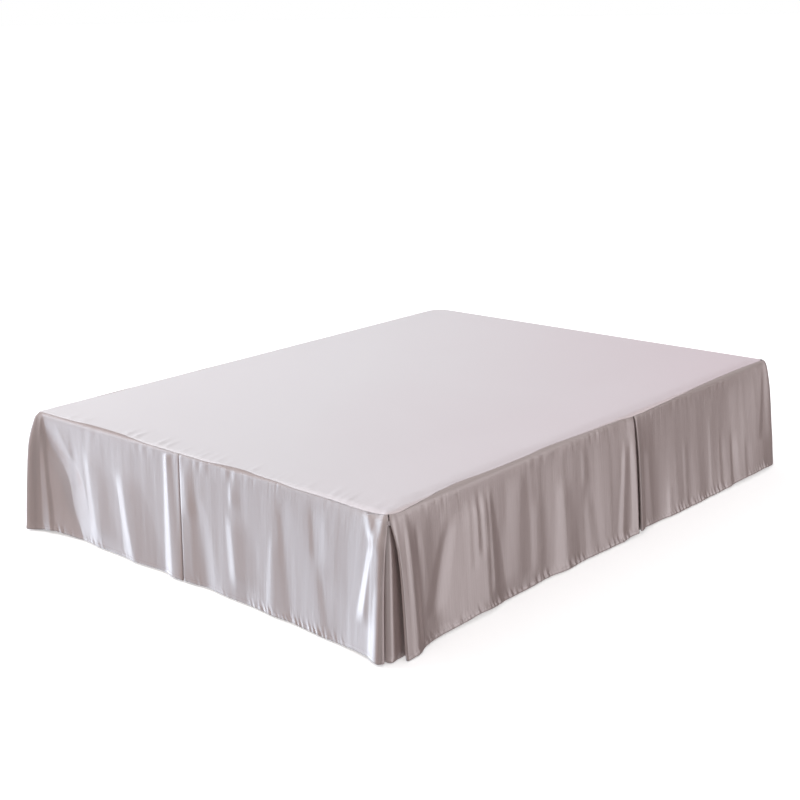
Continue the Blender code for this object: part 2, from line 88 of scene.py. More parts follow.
# %% [markdown]
# ## How the hem swings
#
# Hanging cloth is easiest to describe at its hem, where it is free. Each row of the tables below is one
# crest, trough or shoulder of the hem: its place along the face, how far it stands out from the edge of
# the bed, and its *belly*, the power by which it gets there on its way down. A belly of 1 leans out evenly,
# and a low one swings out straight under the seam. The last column, *lift*, is how much higher than the
# rest the hem hangs there.

# %% Waves of the foot drop and of a side drop, in metres along and millimetres out and up
Wave = namedtuple("Wave", "along out belly lift", defaults=(0.0,))

FOOT_WAVES = (
    Wave(-0.7492, 70.0, 0.44, 2.0),  # the folded edge of the left corner pleat stands well out
    Wave(-0.7382, 40.0, 0.52, 3.0),
    Wave(-0.7200, 23.0, 0.70, 6.0),
    Wave(-0.6800, 13.0, 0.80, 7.0),
    Wave(-0.6300, 7.0, 0.85, 3.0),
    Wave(-0.5750, 4.0, 0.90, -0.5),  # trough at the foot of the left corner's flank
    Wave(-0.5200, 6.5, 0.85),
    Wave(-0.4550, 11.5, 0.80),
    Wave(-0.4100, 11.5, 0.85, 0.5),
    Wave(-0.3000, 13.5, 0.80),
    Wave(-0.2300, 11.0, 0.85, 0.5),
    Wave(-0.1450, 9.0, 0.90, 1.1),
    Wave(-0.0750, 16.0, 0.80),     # the panel's edge lifts at the middle pleat
    Wave(-0.0450, 18.0, 0.80),
    Wave(-0.0100, 16.0, 0.80),
    Wave(0.0600, 12.5, 0.80, 0.8),
    Wave(0.1750, 16.5, 0.80),
    Wave(0.2350, 15.5, 0.80, 0.4),
    Wave(0.3400, 22.0, 0.80),
    Wave(0.3950, 24.0, 0.80, 1.1),
    Wave(0.4550, 27.5, 0.78),
    Wave(0.5150, 31.0, 0.75),
    Wave(0.5650, 34.5, 0.72, -1.0),
    Wave(0.6300, 37.0, 0.66, 1.3),
    Wave(0.6750, 42.0, 0.60, 5.0),
    Wave(0.7200, 49.0, 0.55, 7.0),
    Wave(0.7330, 54.0, 0.52, 6.0),
    Wave(0.7430, 61.0, 0.52, 4.0),
    Wave(0.7477, 56.0, 0.50, 4.0),  # the folded edge of the near corner pleat
)
SIDE_WAVES = (
    Wave(-1.0110, 51.0, 0.55),     # this side's folded edge of the near corner pleat
    Wave(-0.9600, 44.0, 0.60),
    Wave(-0.9100, 32.0, 0.65, 0.5),
    Wave(-0.8400, 21.0, 0.70, 0.6),
    Wave(-0.7300, 20.0, 0.75, 5.5),
    Wave(-0.6850, 20.0, 0.76, 9.5),
    Wave(-0.6300, 21.0, 0.78, 7.5),
    Wave(-0.5300, 19.0, 0.80, 1.5),
    Wave(-0.4300, 19.0, 0.80, 0.7),
    Wave(-0.3400, 16.5, 0.80, 1.0),
    Wave(-0.2500, 24.0, 0.75),
    Wave(-0.1500, 23.0, 0.75),
    Wave(-0.0300, 30.0, 0.75),
    Wave(0.0600, 31.0, 0.70),
    Wave(0.1300, 38.5, 0.60, 5.0),      # the panel's edge swings out at the side pleat
    Wave(0.1700, 31.0, 0.70, 5.0),
    Wave(0.2650, 23.5, 1.00, 0.8),
    Wave(0.3700, 33.0, 1.10),
    Wave(0.4400, 33.0, 1.10),
    Wave(0.5100, 37.0, 1.20),
    Wave(0.5750, 36.0, 1.15, 0.4),
    Wave(0.6900, 43.0, 1.30, 3.0),
    Wave(0.7900, 45.0, 1.05, 8.5),
    Wave(0.8600, 47.0, 0.95, 7.5),
    Wave(0.9400, 48.5, 0.75, 8.5),
    Wave(0.9850, 46.0, 0.62, 4.0),
    Wave(1.0200, 47.0, 0.58),      # round the head corner
    Wave(1.0700, 38.0, 0.65),
    Wave(1.1600, 26.0, 0.80),
)
print("waves of the hem:", len(FOOT_WAVES), "at the foot and", len(SIDE_WAVES), "up a side")

# %% [markdown]
# ## Folds that come and go
#
# Between the seam and the hem the cloth has soft folds of its own. A fold here is a ridge, or a trough
# where its height is negative, that runs from a place at the seam to a place at the hem. Its two flanks
# have their own widths, because satin shows the steep flank of a fold as a bright or a dark streak and
# the gentle one hardly at all. A *crisp* fold has flat flanks and a sharp back. Widths and heights are
# those at the hem, because every fold starts narrow under the seam and grows on its way down.

# %% Folds, with places along the face and heights in millimetres
Fold = namedtuple("Fold", "top foot start end left right height crisp", defaults=(0.0,))

FOOT_FOLDS = (
    Fold(-0.730, -0.694, -0.15, 1.00, 0.050, 0.016, 5.4, 0.7),  # light strip inside the left corner's flank
    Fold(-0.575, -0.560, 0.10, 0.50, 0.060, 0.050, -2.0),
    Fold(-0.512, -0.452, 0.12, 0.82, 0.046, 0.120, 4.2, 0.3),
    Fold(-0.400, -0.304, 0.24, 1.00, 0.100, 0.040, -2.6, 0.3),
    Fold(-0.345, -0.277, 0.22, 1.00, 0.056, 0.160, 6.2, 0.4),  # cone above the hem
    Fold(-0.108, -0.092, -0.15, 1.00, 0.044, 0.060, 7.2, 0.35),  # bright streak by the pleat
    Fold(-0.030, -0.010, 0.00, 0.36, 0.046, 0.080, 4.4, 0.4),
    Fold(0.000, 0.058, 0.20, 1.00, 0.060, 0.070, -3.2, 0.2),   # soft dark triangle
    Fold(0.168, 0.190, 0.00, 0.18, 0.030, 0.070, 4.2, 0.5),
    Fold(0.150, 0.200, 0.28, 0.78, 0.042, 0.120, 5.2, 0.4),
    Fold(0.345, 0.335, 0.32, 1.00, 0.030, 0.050, 1.8),
    Fold(0.362, 0.422, 0.06, 0.98, 0.044, 0.160, -2.8),      # the long curved valley
    Fold(0.485, 0.540, 0.00, 0.36, 0.036, 0.100, -3.0, 0.3),
    Fold(0.495, 0.572, 0.46, 0.98, 0.035, 0.110, -2.8, 0.3),
    Fold(0.692, 0.900, -0.10, 0.14, 0.046, 0.060, 11.5, 0.7),  # bright bends beside the near corner
    Fold(0.736, 0.692, 0.06, 0.66, 0.036, 0.050, 7.6, 0.5),
    Fold(0.750, 0.743, 0.38, 1.00, 0.014, 0.006, 3.8, 0.4),
)
SIDE_FOLDS = (
    Fold(-0.962, -0.955, 0.00, 1.00, 0.034, 0.040, 4.0, 0.3),
    Fold(-0.925, -0.915, 0.05, 0.90, 0.034, 0.050, -3.2),
    Fold(-0.760, -0.895, 0.12, 0.72, 0.055, 0.070, -4.8, 0.3),  # diagonal valley
    Fold(-0.645, -0.640, 0.06, 1.00, 0.240, 0.100, 12.0, 0.6),   # broad pale patch
    Fold(-0.690, -0.690, 0.02, 0.55, 0.030, 0.030, -1.2),
    Fold(-0.658, -0.650, 0.00, 0.46, 0.034, 0.046, -3.6),
    Fold(-0.612, -0.608, 0.04, 0.80, 0.020, 0.034, 2.4, 0.5),
    Fold(-0.468, -0.505, 0.00, 0.80, 0.110, 0.090, 4.4, 0.3),   # broad light fold
    Fold(-0.398, -0.392, 0.24, 0.82, 0.044, 0.080, 2.4, 0.3),
    Fold(-0.272, -0.254, 0.20, 1.00, 0.055, 0.080, 3.4, 0.3),
    Fold(-0.155, -0.150, 0.00, 0.30, 0.035, 0.060, 2.2),
    Fold(-0.165, -0.118, 0.42, 0.96, 0.040, 0.050, 2.0),
    Fold(0.076, 0.036, 0.12, 1.00, 0.034, 0.060, 3.2, 0.2),     # light edge of the cone by the pleat
    Fold(0.094, 0.096, 0.12, 1.00, 0.066, 0.024, -3.6, 0.1),    # and its brown middle
    Fold(0.168, 0.180, 0.22, 1.00, 0.010, 0.050, -4.6, 0.6),    # crease past the side pleat
    Fold(0.330, 0.330, 0.65, 1.00, 0.020, 0.030, 1.2),
    Fold(0.430, 0.430, 0.30, 1.00, 0.024, 0.040, 1.0),
    Fold(0.600, 0.595, 0.20, 1.00, 0.024, 0.040, 1.0),
    Fold(0.670, 0.665, 0.40, 1.00, 0.024, 0.040, -1.4),
    Fold(0.745, 0.735, 0.45, 1.00, 0.024, 0.050, -2.2),
    Fold(0.830, 0.830, 0.55, 1.00, 0.024, 0.050, -1.4),
    Fold(0.930, 0.865, 0.10, 1.00, 0.200, 0.150, 2.2),       # from here the cloth faces the head a little
    Fold(0.985, 0.930, 0.00, 0.60, 0.050, 0.110, -4.6),
)
FADE_IN = 0.20             # parts of the fall over which a fold rises and dies away
FADE_OUT = 0.15
SEAM_SHARE = 0.4           # a fold's width and height under the seam, as a share of those at the hem
print("folds:", len(FOOT_FOLDS), "at the foot and", len(SIDE_FOLDS), "up a side")

# %% [markdown]
# The left corner has a form of its own. The edge of the corner pleat stands far out there, and from it the
# cloth runs back to the face in one flat flank that ends in a sharp crease. The crease wanders down from
# the corner of the seam towards the middle of the hem. Past it a low lip leads back to the face.

# %% The crease that ends the left corner's flank
Crease = namedtuple("Crease", "along place depth")   # along is the part of the fall

FLANK_CREASE = (
    Crease(0.00, -0.756, 0.0),
    Crease(0.06, -0.744, 3.0),
    Crease(0.22, -0.704, 8.5),
    Crease(0.35, -0.658, 10.5),
    Crease(0.51, -0.618, 9.5),
    Crease(0.76, -0.598, 7.0),
    Crease(0.92, -0.566, 4.0),
    Crease(1.00, -0.548, 2.5),
)
FLANK_LIP = 0.092
FLANK_FLAT = 0.90          # the rest of the flank's rise comes in a curve, close to the corner
print("the crease ends %.0f mm from the corner" % ((BED_WIDTH / 2 + FLANK_CREASE[-1].place) * 1000))

# %% [markdown]
# ## The seam
#
# The seam between a drop and the platform cloth wanders: here the drop is pulled up on to the flat of the
# bed, there the platform cloth is pulled down over the edge. As the cloth turns over the edge round a small
# circle, an angle says where the seam lies. At 90 degrees it is at the edge of the flat top, and past that
# it lies as much cloth further in as the same angle takes on the turn.

# %% Where the seam lies on the turn
Seam = namedtuple("Seam", "along angle")
BROW_TO_SEAM = 6.0         # least turn between the seam and the brow, where the fall begins
INNER_SEAM = 50.0          # the layers inside a pleat are sewn no further in, clear of the bed base
SEAM_GAP = 0.0005          # between the two cloths, where the stitches sink in

FOOT_SEAM = tuple(Seam(*row) for row in (
    (-0.755, 58.0), (-0.670, 60.0), (-0.563, 64.0), (-0.476, 86.0), (-0.349, 82.0),
    (-0.252, 54.0), (-0.179, 44.0), (0.000, 41.0), (0.072, 41.0), (0.144, 64.0),
    (0.211, 74.0), (0.266, 58.0), (0.351, 48.0), (0.424, 32.0), (0.545, 28.0),
    (0.597, 21.0), (0.690, 16.0), (0.722, 22.0), (0.752, 42.0),
))
SIDE_SEAM = tuple(Seam(*row) for row in (
    (-1.012, 48.0), (-0.977, 30.0), (-0.917, 42.0), (-0.854, 60.0), (-0.787, 88.0),
    (-0.707, 104.0), (-0.601, 80.0), (-0.410, 74.0), (-0.329, 94.0), (-0.138, 62.0),
    (0.058, 44.0), (0.130, 24.0), (0.346, 38.0), (0.584, 68.0), (0.802, 84.0),
    (0.963, 68.0),
))
print("seam of the foot from %.0f to %.0f degrees" % (min(FOOT_SEAM, key=lambda row: row.angle).angle,
                                                      max(FOOT_SEAM, key=lambda row: row.angle).angle))

# %% [markdown]
# ## A walk round the bed
#
# Instead of placing four walls, we walk round the bed with a tape measure. The walk starts in the middle of
# the foot and runs towards +X, round the corner and up the near side; a negative walk is its mirror image.
# One function then turns any walk into a place on the wall and the direction that faces away from it.

# %% The walk
FOOT_STRAIGHT = BED_WIDTH / 2 - FOOT_RADIUS
SIDE_START = FOOT_STRAIGHT + math.pi / 2 * FOOT_RADIUS
Run = namedtuple("Run", "length radius")


def half_walk(head_radius):
    """The runs of one half of the walk, from the middle of the foot to the middle of the head."""
    return (
        Run(FOOT_STRAIGHT, 0.0),
        Run(math.pi / 2 * FOOT_RADIUS, FOOT_RADIUS),
        Run(BED_LENGTH - FOOT_RADIUS - head_radius, 0.0),
        Run(math.pi / 2 * head_radius, head_radius),
        Run(BED_WIDTH / 2 - head_radius, 0.0),
    )


NEAR_RUNS = half_walk(NEAR_HEAD_RADIUS)
FAR_RUNS = half_walk(FAR_HEAD_RADIUS)


def bend(walk):
    """A point of the wall and its outward direction, in plan."""
    left = abs(walk)
    place = Vector((0.0, -BED_LENGTH / 2))
    heading = 0.0
    for run in FAR_RUNS if walk < 0.0 else NEAR_RUNS:
        step = min(left, run.length)
        if run.radius:
            centre = place + run.radius * Vector((-math.sin(heading), math.cos(heading)))
            heading += step / run.radius
            place = centre + run.radius * Vector((math.sin(heading), -math.cos(heading)))
        else:
            place = place + step * Vector((math.cos(heading), math.sin(heading)))
        left -= step
        if left <= 0.0:
            break
    outward = Vector((math.sin(heading), -math.cos(heading)))
    if walk < 0.0:
        place.x, outward.x = -place.x, -outward.x
    return place, outward


def side_walk(y):
    """The walk at a place up the near side, where y may run on past the straight."""
    return SIDE_START + y + BED_LENGTH / 2 - FOOT_RADIUS


def corner_walk(degrees):
    """The walk at an angle round the near foot corner."""
    return FOOT_STRAIGHT + math.radians(degrees) * FOOT_RADIUS


def askew(place):
    """How far the cloth's pull moves a point towards the head."""
    return HEAD_SKEW * place.x / (BED_WIDTH / 2) * (place.y / BED_LENGTH + 0.5)


print("half way round the bed: %.3f m" % sum(run.length for run in NEAR_RUNS))

# %% [markdown]
# A smooth curve through a table's rows gives a value at any walk. It is a Catmull-Rom curve: it passes
# through every row and leans there as its two neighbours do. The far side of the bed hangs as the near one
# does, so the side tables are turned round for it.

# %% Tables along the walk
def curve(rows, along, value):
    """A smooth curve through one column of a table, level past its ends."""
    if along <= rows[0].along:
        return getattr(rows[0], value)
    if along >= rows[-1].along:
        return getattr(rows[-1], value)
    index = next(i for i in range(len(rows) - 1) if along <= rows[i + 1].along)
    near = rows[index:index + 2]
    before = rows[max(index - 1, 0)]
    after = rows[min(index + 2, len(rows) - 1)]
    width = near[1].along - near[0].along
    start, end = (getattr(row, value) for row in near)
    lean_in = (end - getattr(before, value)) / (near[1].along - before.along) * width
    lean_out = (getattr(after, value) - start) / (after.along - near[0].along) * width
    t = (along - near[0].along) / width
    return ((1 + 2 * t) * (1 - t) ** 2 * start + t * (1 - t) ** 2 * lean_in
            + t * t * (3 - 2 * t) * end - t * t * (1 - t) * lean_out)


def both_sides(foot_rows, side_rows):
    """One table for the whole walk, from the far head corner round the foot to the near one."""
    near = tuple(row._replace(along=side_walk(row.along)) for row in side_rows)
    far = tuple(row._replace(along=-row.along) for row in reversed(near))
    return far + foot_rows + near


WAVES = both_sides(FOOT_WAVES, SIDE_WAVES)
SEAMS = both_sides(FOOT_SEAM, SIDE_SEAM)
NEAR_FOLDS = tuple(fold._replace(top=side_walk(fold.top), foot=side_walk(fold.foot)) for fold in SIDE_FOLDS)
FAR_FOLDS = tuple(fold._replace(top=-fold.top, foot=-fold.foot, left=fold.right, right=fold.left)
                  for fold in NEAR_FOLDS)
FOLDS = FOOT_FOLDS + NEAR_FOLDS + FAR_FOLDS
print("rows for the whole walk:", len(WAVES), "waves and", len(FOLDS), "folds")

# %% [markdown]
# ## The wall of cloth
#
# At each walk the cloth leaves the turn over the edge at its *brow* and falls to the hem. The fall is a
# power curve, but a power curve leaves its start at a right angle, which no cloth does. So its first few
# percent are a parabola that meets the rest without a kink, and the parabola's slope gives the brow.

# %% Posts, and the line of the fall
Post = namedtuple("Post", "place outward out belly seam brow hem")
FIRST = 0.03               # the part of the fall that the parabola takes


def swing(fall, belly):
    """How much of its swing the cloth has reached at a part of its fall."""
    if fall >= FIRST:
        return fall ** belly
    return (2 - belly) * FIRST ** (belly - 1) * fall + (belly - 1) * FIRST ** (belly - 2) * fall * fall


def pushed(walk):
    """How far a corner of the foot, or the near one of the head, stands out of its round."""
    foot = (abs(walk) - FOOT_STRAIGHT) / FOOT_RADIUS
    head = (walk - side_walk(BED_LENGTH / 2 - NEAR_HEAD_RADIUS)) / NEAR_HEAD_RADIUS
    return sum(CORNER_PUSH * math.sin(2.0 * min(max(turn, 0.0), math.pi / 2)) ** 2 for turn in (foot, head))


@lru_cache(maxsize=None)
def post_at(walk):
    """The wall at one place of the walk."""
    place, outward = bend(walk)
    place += outward * pushed(walk)
    place.y += askew(place)
    out = curve(WAVES, walk, "out") / 1000.0
    belly = curve(WAVES, walk, "belly")
    near_corner = math.exp(-((abs(walk) - corner_walk(45.0)) / CORNER_HEM_WIDTH) ** 2)
    hem = HEM_HEIGHT + (CORNER_HEM - HEM_HEIGHT) * near_corner + curve(WAVES, walk, "lift") / 1000.0
    slope = out * (2 - belly) * FIRST ** (belly - 1) / (TOP - hem)
    seam = curve(SEAMS, walk, "angle")
    brow = min(math.degrees(math.atan(slope)), seam - BROW_TO_SEAM)
    return Post(place, outward, out, belly, seam, brow, hem)


corner = post_at(corner_walk(26.0))
print("the near corner stands out %.0f mm, its brow at %.0f degrees" % (corner.out * 1000, corner.brow))

# %% [markdown]
# ## Small creases
#
# Three small things make the difference between a bent board and cloth. The seam's stitches draw the cloth
# in, so short puckers run down from it. The hem's stitches do the same the other way up, and slant, because
# the needle drags the upper layer along. And the whole drop is a little uneven, in long upright ripples.

# %% Puckers, ripples and the hem's own thickness
PUCKER_REACH = 0.050       # how far the seam's puckers run
PUCKER_HEIGHT = 0.0016
PUCKERS_A_METRE = 52.0
SIDE_PUCKERS = 0.45        # the puckers of a side drop, as a share of the foot's
HEM_BAND = 0.012           # the hem is turned up this far and stitched
HEM_PUCKER_REACH = 0.034
HEM_PUCKER_HEIGHT = 0.0032
HEM_PUCKERS_A_METRE = 84.0
HEM_SLANT = 0.45           # how far a hem pucker leans for each metre it rises
RIPPLE_HEIGHT = 0.0006
RIPPLES_A_METRE = 13.0
FINE_SHARE, FINER = 0.35, 3.1      # height and closeness of the fine ripples against the long ones
PATCHES_A_METRE = 4.0      # puckers come and go in patches along the seam
HEM_PATCHES_A_METRE = 5.0
HEM_EDGE = 0.006           # the hem's very edge is calmer than the cloth over it
BAND_STEP, BAND_EASE = 0.0004, 0.002   # the doubled hem stands out, and how softly that ends
GROOVE, GROOVE_WIDTH = 0.0005, 0.0022  # its stitches sink in


def soft_step(value):
    t = min(max(value, 0.0), 1.0)
    return t * t * (3 - 2 * t)


def wander(along, down, seed):
    """Smooth unevenness between about -1 and 1."""
    return 1.6 * noise.noise(Vector((along, down, seed)))


def folds_at(walk, fall):
    """Height of the soft folds at a walk and a part of the fall."""
    total = 0.0
    grown = SEAM_SHARE + (1.0 - SEAM_SHARE) * fall
    for fold in FOLDS:
        away = walk - (fold.top + (fold.foot - fold.top) * fall)
        reach = (away / fold.right if away > 0.0 else -away / fold.left) / grown
        if reach < 1.0:
            fade = soft_step((fall - fold.start) / FADE_IN) * soft_step((fold.end - fall) / FADE_OUT + 1.0)
            side = soft_step(1.0 - reach) * (1.0 - fold.crisp) + (1.0 - reach) * fold.crisp
            total += fold.height / 1000.0 * grown * fade * side
    return total


def waves_at(walk, fall):
    """How far the waves of the hem bring the cloth out at a part of the fall."""
    post = post_at(walk)
    return post.out * swing(fall, post.belly)


def front_at(walk, fall):
    """The waves, but for the flat flank beside the left corner and the lip past its crease."""
    edge = -FOOT_STRAIGHT
    if not edge < walk < FLANK_CREASE[-1].place + FLANK_LIP:
        return waves_at(walk, fall)
    crease = curve(FLANK_CREASE, fall, "place")
    depth = curve(FLANK_CREASE, fall, "depth") / 1000.0
    if walk >= crease:
        return waves_at(walk, fall) - depth * max(0.0, 1.0 - (walk - crease) / FLANK_LIP)
    low = waves_at(crease, fall) - depth
    part = (crease - walk) / (crease - edge)
    return low + (waves_at(edge, fall) - low) * (FLANK_FLAT * part + (1.0 - FLANK_FLAT) * part ** 3)


def creases_at(walk, drop, rise):
    """Puckers and ripples, where drop is the way down from the seam and rise the way up from the hem."""
    seam_fade = max(0.0, 1.0 - drop / PUCKER_REACH) ** 2
    patch = soft_step(0.5 + wander(walk * PATCHES_A_METRE, 0.0, 3.1))
    puckers = PUCKER_HEIGHT * patch * seam_fade * wander(walk * PUCKERS_A_METRE, drop * 9.0, 7.7)
    if abs(walk) > SIDE_START:
        puckers *= SIDE_PUCKERS
    hem_fade = max(0.0, 1.0 - rise / HEM_PUCKER_REACH) * soft_step(rise / HEM_EDGE + 0.3)
    hem_patch = soft_step(0.55 + wander(walk * HEM_PATCHES_A_METRE, 0.0, 11.3))
    slanted = (walk + HEM_SLANT * rise) * HEM_PUCKERS_A_METRE
    hem_puckers = HEM_PUCKER_HEIGHT * hem_patch * hem_fade * wander(slanted, rise * 12.0, 5.9)
    ripples = RIPPLE_HEIGHT * wander(walk * RIPPLES_A_METRE, drop * 2.2, 1.3) * soft_step(drop / 0.06)
    fine = FINE_SHARE * RIPPLE_HEIGHT * wander(walk * RIPPLES_A_METRE * FINER, drop * 3.0, 9.2)
    band = (BAND_STEP * (1.0 - soft_step((rise - HEM_BAND) / BAND_EASE))
            - GROOVE * math.exp(-((rise - HEM_BAND) / GROOVE_WIDTH) ** 2))
    return puckers + hem_puckers + ripples + fine * soft_step(drop / 0.04) + band


print("hem turned up %.0f mm" % (HEM_BAND * 1000))

# %% [markdown]
# ## One point of hanging cloth
#
# A drop is a grid. A row of the grid is a height and a column is a thread that runs from seam to hem. The
# rows lie closest together where the cloth bends most, on the turn over the edge and at the hem. A point
# may hang behind the front by a number of layers, as the inside of a pleat does.

# %% Rows, and the point where a row meets a walk
TURN_ROWS = 8
HEM_ROWS = (0.0, 0.004, 0.008, 0.0105, 0.012, 0.0135, 0.017, 0.022, 0.028, 0.035)
MIDDLE_ROWS = 34
TOP_ROWS = (0.012, 0.028, 0.046)
FALL_LENGTH = TOP - HEM_HEIGHT


def fall_rows():
    """The rows of the fall as parts of it, from just under the turn to the hem."""
    low = 1.0 - HEM_ROWS[-1] / FALL_LENGTH
    high = TOP_ROWS[-1]
    middle = [high + (low - high) * (i + 1) / MIDDLE_ROWS for i in range(MIDDLE_ROWS - 1)]
    return TOP_ROWS + tuple(middle) + tuple(1.0 - rise / FALL_LENGTH for rise in reversed(HEM_ROWS))


FALLS = fall_rows()
ROWS = TURN_ROWS + len(FALLS)

CORNER_UNDERLAY = 2.5      # layers behind the front at which a foot corner's underlay hangs
UNDERLAY_RIDGE = 40.0      # degrees round the corner of the ridge down the middle of the underlay
RIDGE_LEFT, RIDGE_RIGHT = 30.0, 22.0   # how many degrees it spreads to each side
RIDGE_HEIGHT = 0.017
RIDGE_EASE = 0.7           # how early on the fall the ridge rises
TUCK_GONE = 0.3            # the part of the fall by which the cloth has left the turn
UNDERLAY_CALM = 0.4        # and by which an underlay has lost the folds of the front


def ridge_at(walk, layer, fall):
    """The underlay of a foot corner bellies forward in the middle of the gap."""
    if layer < CORNER_UNDERLAY:
        return 0.0
    degrees = math.degrees((abs(walk) - FOOT_STRAIGHT) / FOOT_RADIUS)
    away = degrees - UNDERLAY_RIDGE
    spread = RIDGE_RIGHT if away > 0.0 else RIDGE_LEFT
    return RIDGE_HEIGHT * soft_step(1.0 - abs(away) / spread) * fall ** RIDGE_EASE


def hang(walk, layer, gape, row):
    """One point of the cloth, in metres."""
    post = post_at(walk)
    if row < TURN_ROWS:
        seam = post.seam if layer == 0 else min(post.seam, INNER_SEAM)
        brow = min(post.brow, seam - BROW_TO_SEAM)
        angle = math.radians(seam + (brow - seam) * row / TURN_ROWS)
        past = max(0.0, angle - math.pi / 2)
        radius = TURN - layer * PITCH
        out = -TURN + radius * math.cos(angle - past) - TURN * past
        if layer == 0:
            out += creases_at(walk, TURN * (math.radians(seam) - angle), 1.0) * row / TURN_ROWS
        height = TOP - TURN + radius * math.sin(angle - past)
    else:
        fall = FALLS[row - TURN_ROWS]
        brow = math.radians(post.brow)
        start = TOP - TURN + TURN * math.sin(brow)
        height = start + (post.hem - start) * fall
        tuck = TURN * (1.0 - math.cos(brow)) * (1.0 - soft_step(fall / TUCK_GONE))
        folds = folds_at(walk, fall)
        if layer >= CORNER_UNDERLAY:
            folds *= 1.0 - soft_step(fall / UNDERLAY_CALM)
        rise = front_at(walk, fall) + folds - tuck
        rise += creases_at(walk, start - height, height - post.hem)
        out = rise - layer * PITCH * (1.0 + gape * math.sqrt(fall)) + ridge_at(walk, layer, fall)
    place = post.place + post.outward * out
    return Vector((place.x, place.y, height))


print("rows from seam to hem:", ROWS)

# %% [markdown]
# ## Pleats
#
# An inverted pleat is a strip of cloth folded back behind the panel on its left, carried across, and
# brought forward again behind the panel on its right. Followed from left to right, one cloth passes four
# folded edges. So a drop is described as a run of columns in the order in which its cloth runs, and a
# folded edge is a handful of columns on a half circle from one layer to the next.

# %% Columns
Pleat = namedtuple("Pleat", "left_top left_hem right_top right_hem gape")
Column = namedtuple("Column", "top hem step layer gape")
COLUMN_STEP = 0.0034       # cloth from one column to the next
FOLD_ANGLES = (0.0, 25.0, 50.0, 75.0, 105.0, 130.0, 155.0, 180.0)
SWING_EASE = 0.7           # how early on its fall a swinging edge leaves its place at the seam
TACK = 0.045               # the part of the fall over which a foot corner's two edges are tacked together
CORNER_SWING = 6           # the power by which they part below that
EVEN_AT = 0.6              # the part of the fall at which columns round a corner are evenly spaced

FOOT_PLEAT = Pleat(-0.0560, -0.0470, -0.0535, -0.0430, 0.9)
SIDE_PLEAT = Pleat(*(side_walk(y) for y in (0.1275, 0.1120, 0.1345, 0.1430)), 1.1)


def stretch(walk, fall):
    """How much longer the cloth is than the walk it covers, where it fans out round a foot corner."""
    if not FOOT_STRAIGHT < abs(walk) < SIDE_START:
        return 1.0
    post = post_at(walk)
    return 1.0 + post.out * swing(fall, post.belly) / FOOT_RADIUS


def opened(column, fall):
    """How much of its way a swinging edge has gone: at once at a foot corner, below its tack."""
    if FOOT_STRAIGHT < abs(column.top) < SIDE_START:
        return 1.0 - (1.0 - max(0.0, fall - TACK) / (1.0 - TACK)) ** CORNER_SWING
    return fall ** SWING_EASE


def point(column, row):
    """Where a column crosses a row."""
    fall = 0.0 if row < TURN_ROWS else FALLS[row - TURN_ROWS]
    walk = column.top + (column.hem - column.top) * opened(column, fall)
    spacing = PITCH * (1.0 + column.gape * math.sqrt(fall))
    return hang(walk + column.step * spacing / stretch(walk, fall), column.layer, column.gape, row)


def straight(start, stop, layer, gape=0.0):
    """Upright columns from start to stop, whichever way the cloth runs, both ends left out."""
    low, high = sorted((start, stop))
    margin = PITCH * (1.0 + gape) / 2 + COLUMN_STEP / 2
    walks = []
    walk = low + margin / stretch(low + 0.001, 1.0)
    while walk < high - margin / stretch(high - 0.001, 1.0):
        walks.append(walk)
        walk += COLUMN_STEP / stretch(walk, EVEN_AT)
    if stop < start:
        walks.reverse()
    return [Column(walk, walk, 0.0, layer, gape) for walk in walks]


def folded_edge(top, hem, nose, first, last, gape):
    """Columns round a fold that runs from seam to hem; nose is +1 or -1, the way it points."""
    columns = []
    for angle in FOLD_ANGLES:
        turn = math.radians(angle)
        step = nose * (math.sin(turn) - 1.0) / 2
        layer = first + (last - first) * (1.0 - math.cos(turn)) / 2
        columns.append(Column(top, hem, step, layer, gape))
    return columns


def inverted_pleat(pleat):
    """Columns from the left panel's folded edge, behind both panels, to the right panel's."""
    back_left = min(pleat.left_top, pleat.left_hem) - PLEAT_DEPTH
    back_right = max(pleat.right_top, pleat.right_hem) + PLEAT_DEPTH
    gape = pleat.gape
    return (folded_edge(pleat.left_top, pleat.left_hem, 1, 0, 1, gape)
            + straight(pleat.left_hem, back_left, 1, gape)
            + folded_edge(back_left, back_left, -1, 1, 2, gape)
            + straight(back_left, back_right, 2, gape)
            + folded_edge(back_right, back_right, 1, 2, 1, gape)
            + straight(back_right, pleat.right_hem, 1, gape)
            + folded_edge(pleat.right_top, pleat.right_hem, -1, 1, 0, gape))


print("columns of the foot pleat:", len(inverted_pleat(FOOT_PLEAT)))

# %% [markdown]
# ## Corners
#
# At a foot corner two drops meet. Both have a folded edge there, sewn side by side at the seam and swung
# apart at the hem, and the foot drop carries on behind them as the underlay. An edge that swings pulls the
# columns beside it along like the sticks of a fan.

# %% The foot corners
Corner = namedtuple("Corner", "foot_edge gape depth")
NEAR_CORNER = Corner(31.0, 2.8, 0.062)
FAR_CORNER = Corner(33.0, 3.0, 0.040)
CORNER_SEAM = 45.0         # degrees round a foot corner at which its two folded edges are sewn
CORNER_SIDE_EDGE = 75.0    # degrees round it of the side panel's edge at the hem
CORNER_TOP = corner_walk(CORNER_SEAM)
SIDE_EDGE = corner_walk(CORNER_SIDE_EDGE)
UNDERLAY_END = SIDE_EDGE + PLEAT_DEPTH
EDGE_GAP = 0.0017
FAN_STICKS = 9


def fan(start, top, hem, layer, gape):
    """Columns from an upright one at start to an edge that swings."""
    parts = [i / FAN_STICKS for i in range(1, FAN_STICKS)]
    return [Column(start + (top - start) * part, start + (hem - start) * part, 0.0, layer, gape)
            for part in parts]


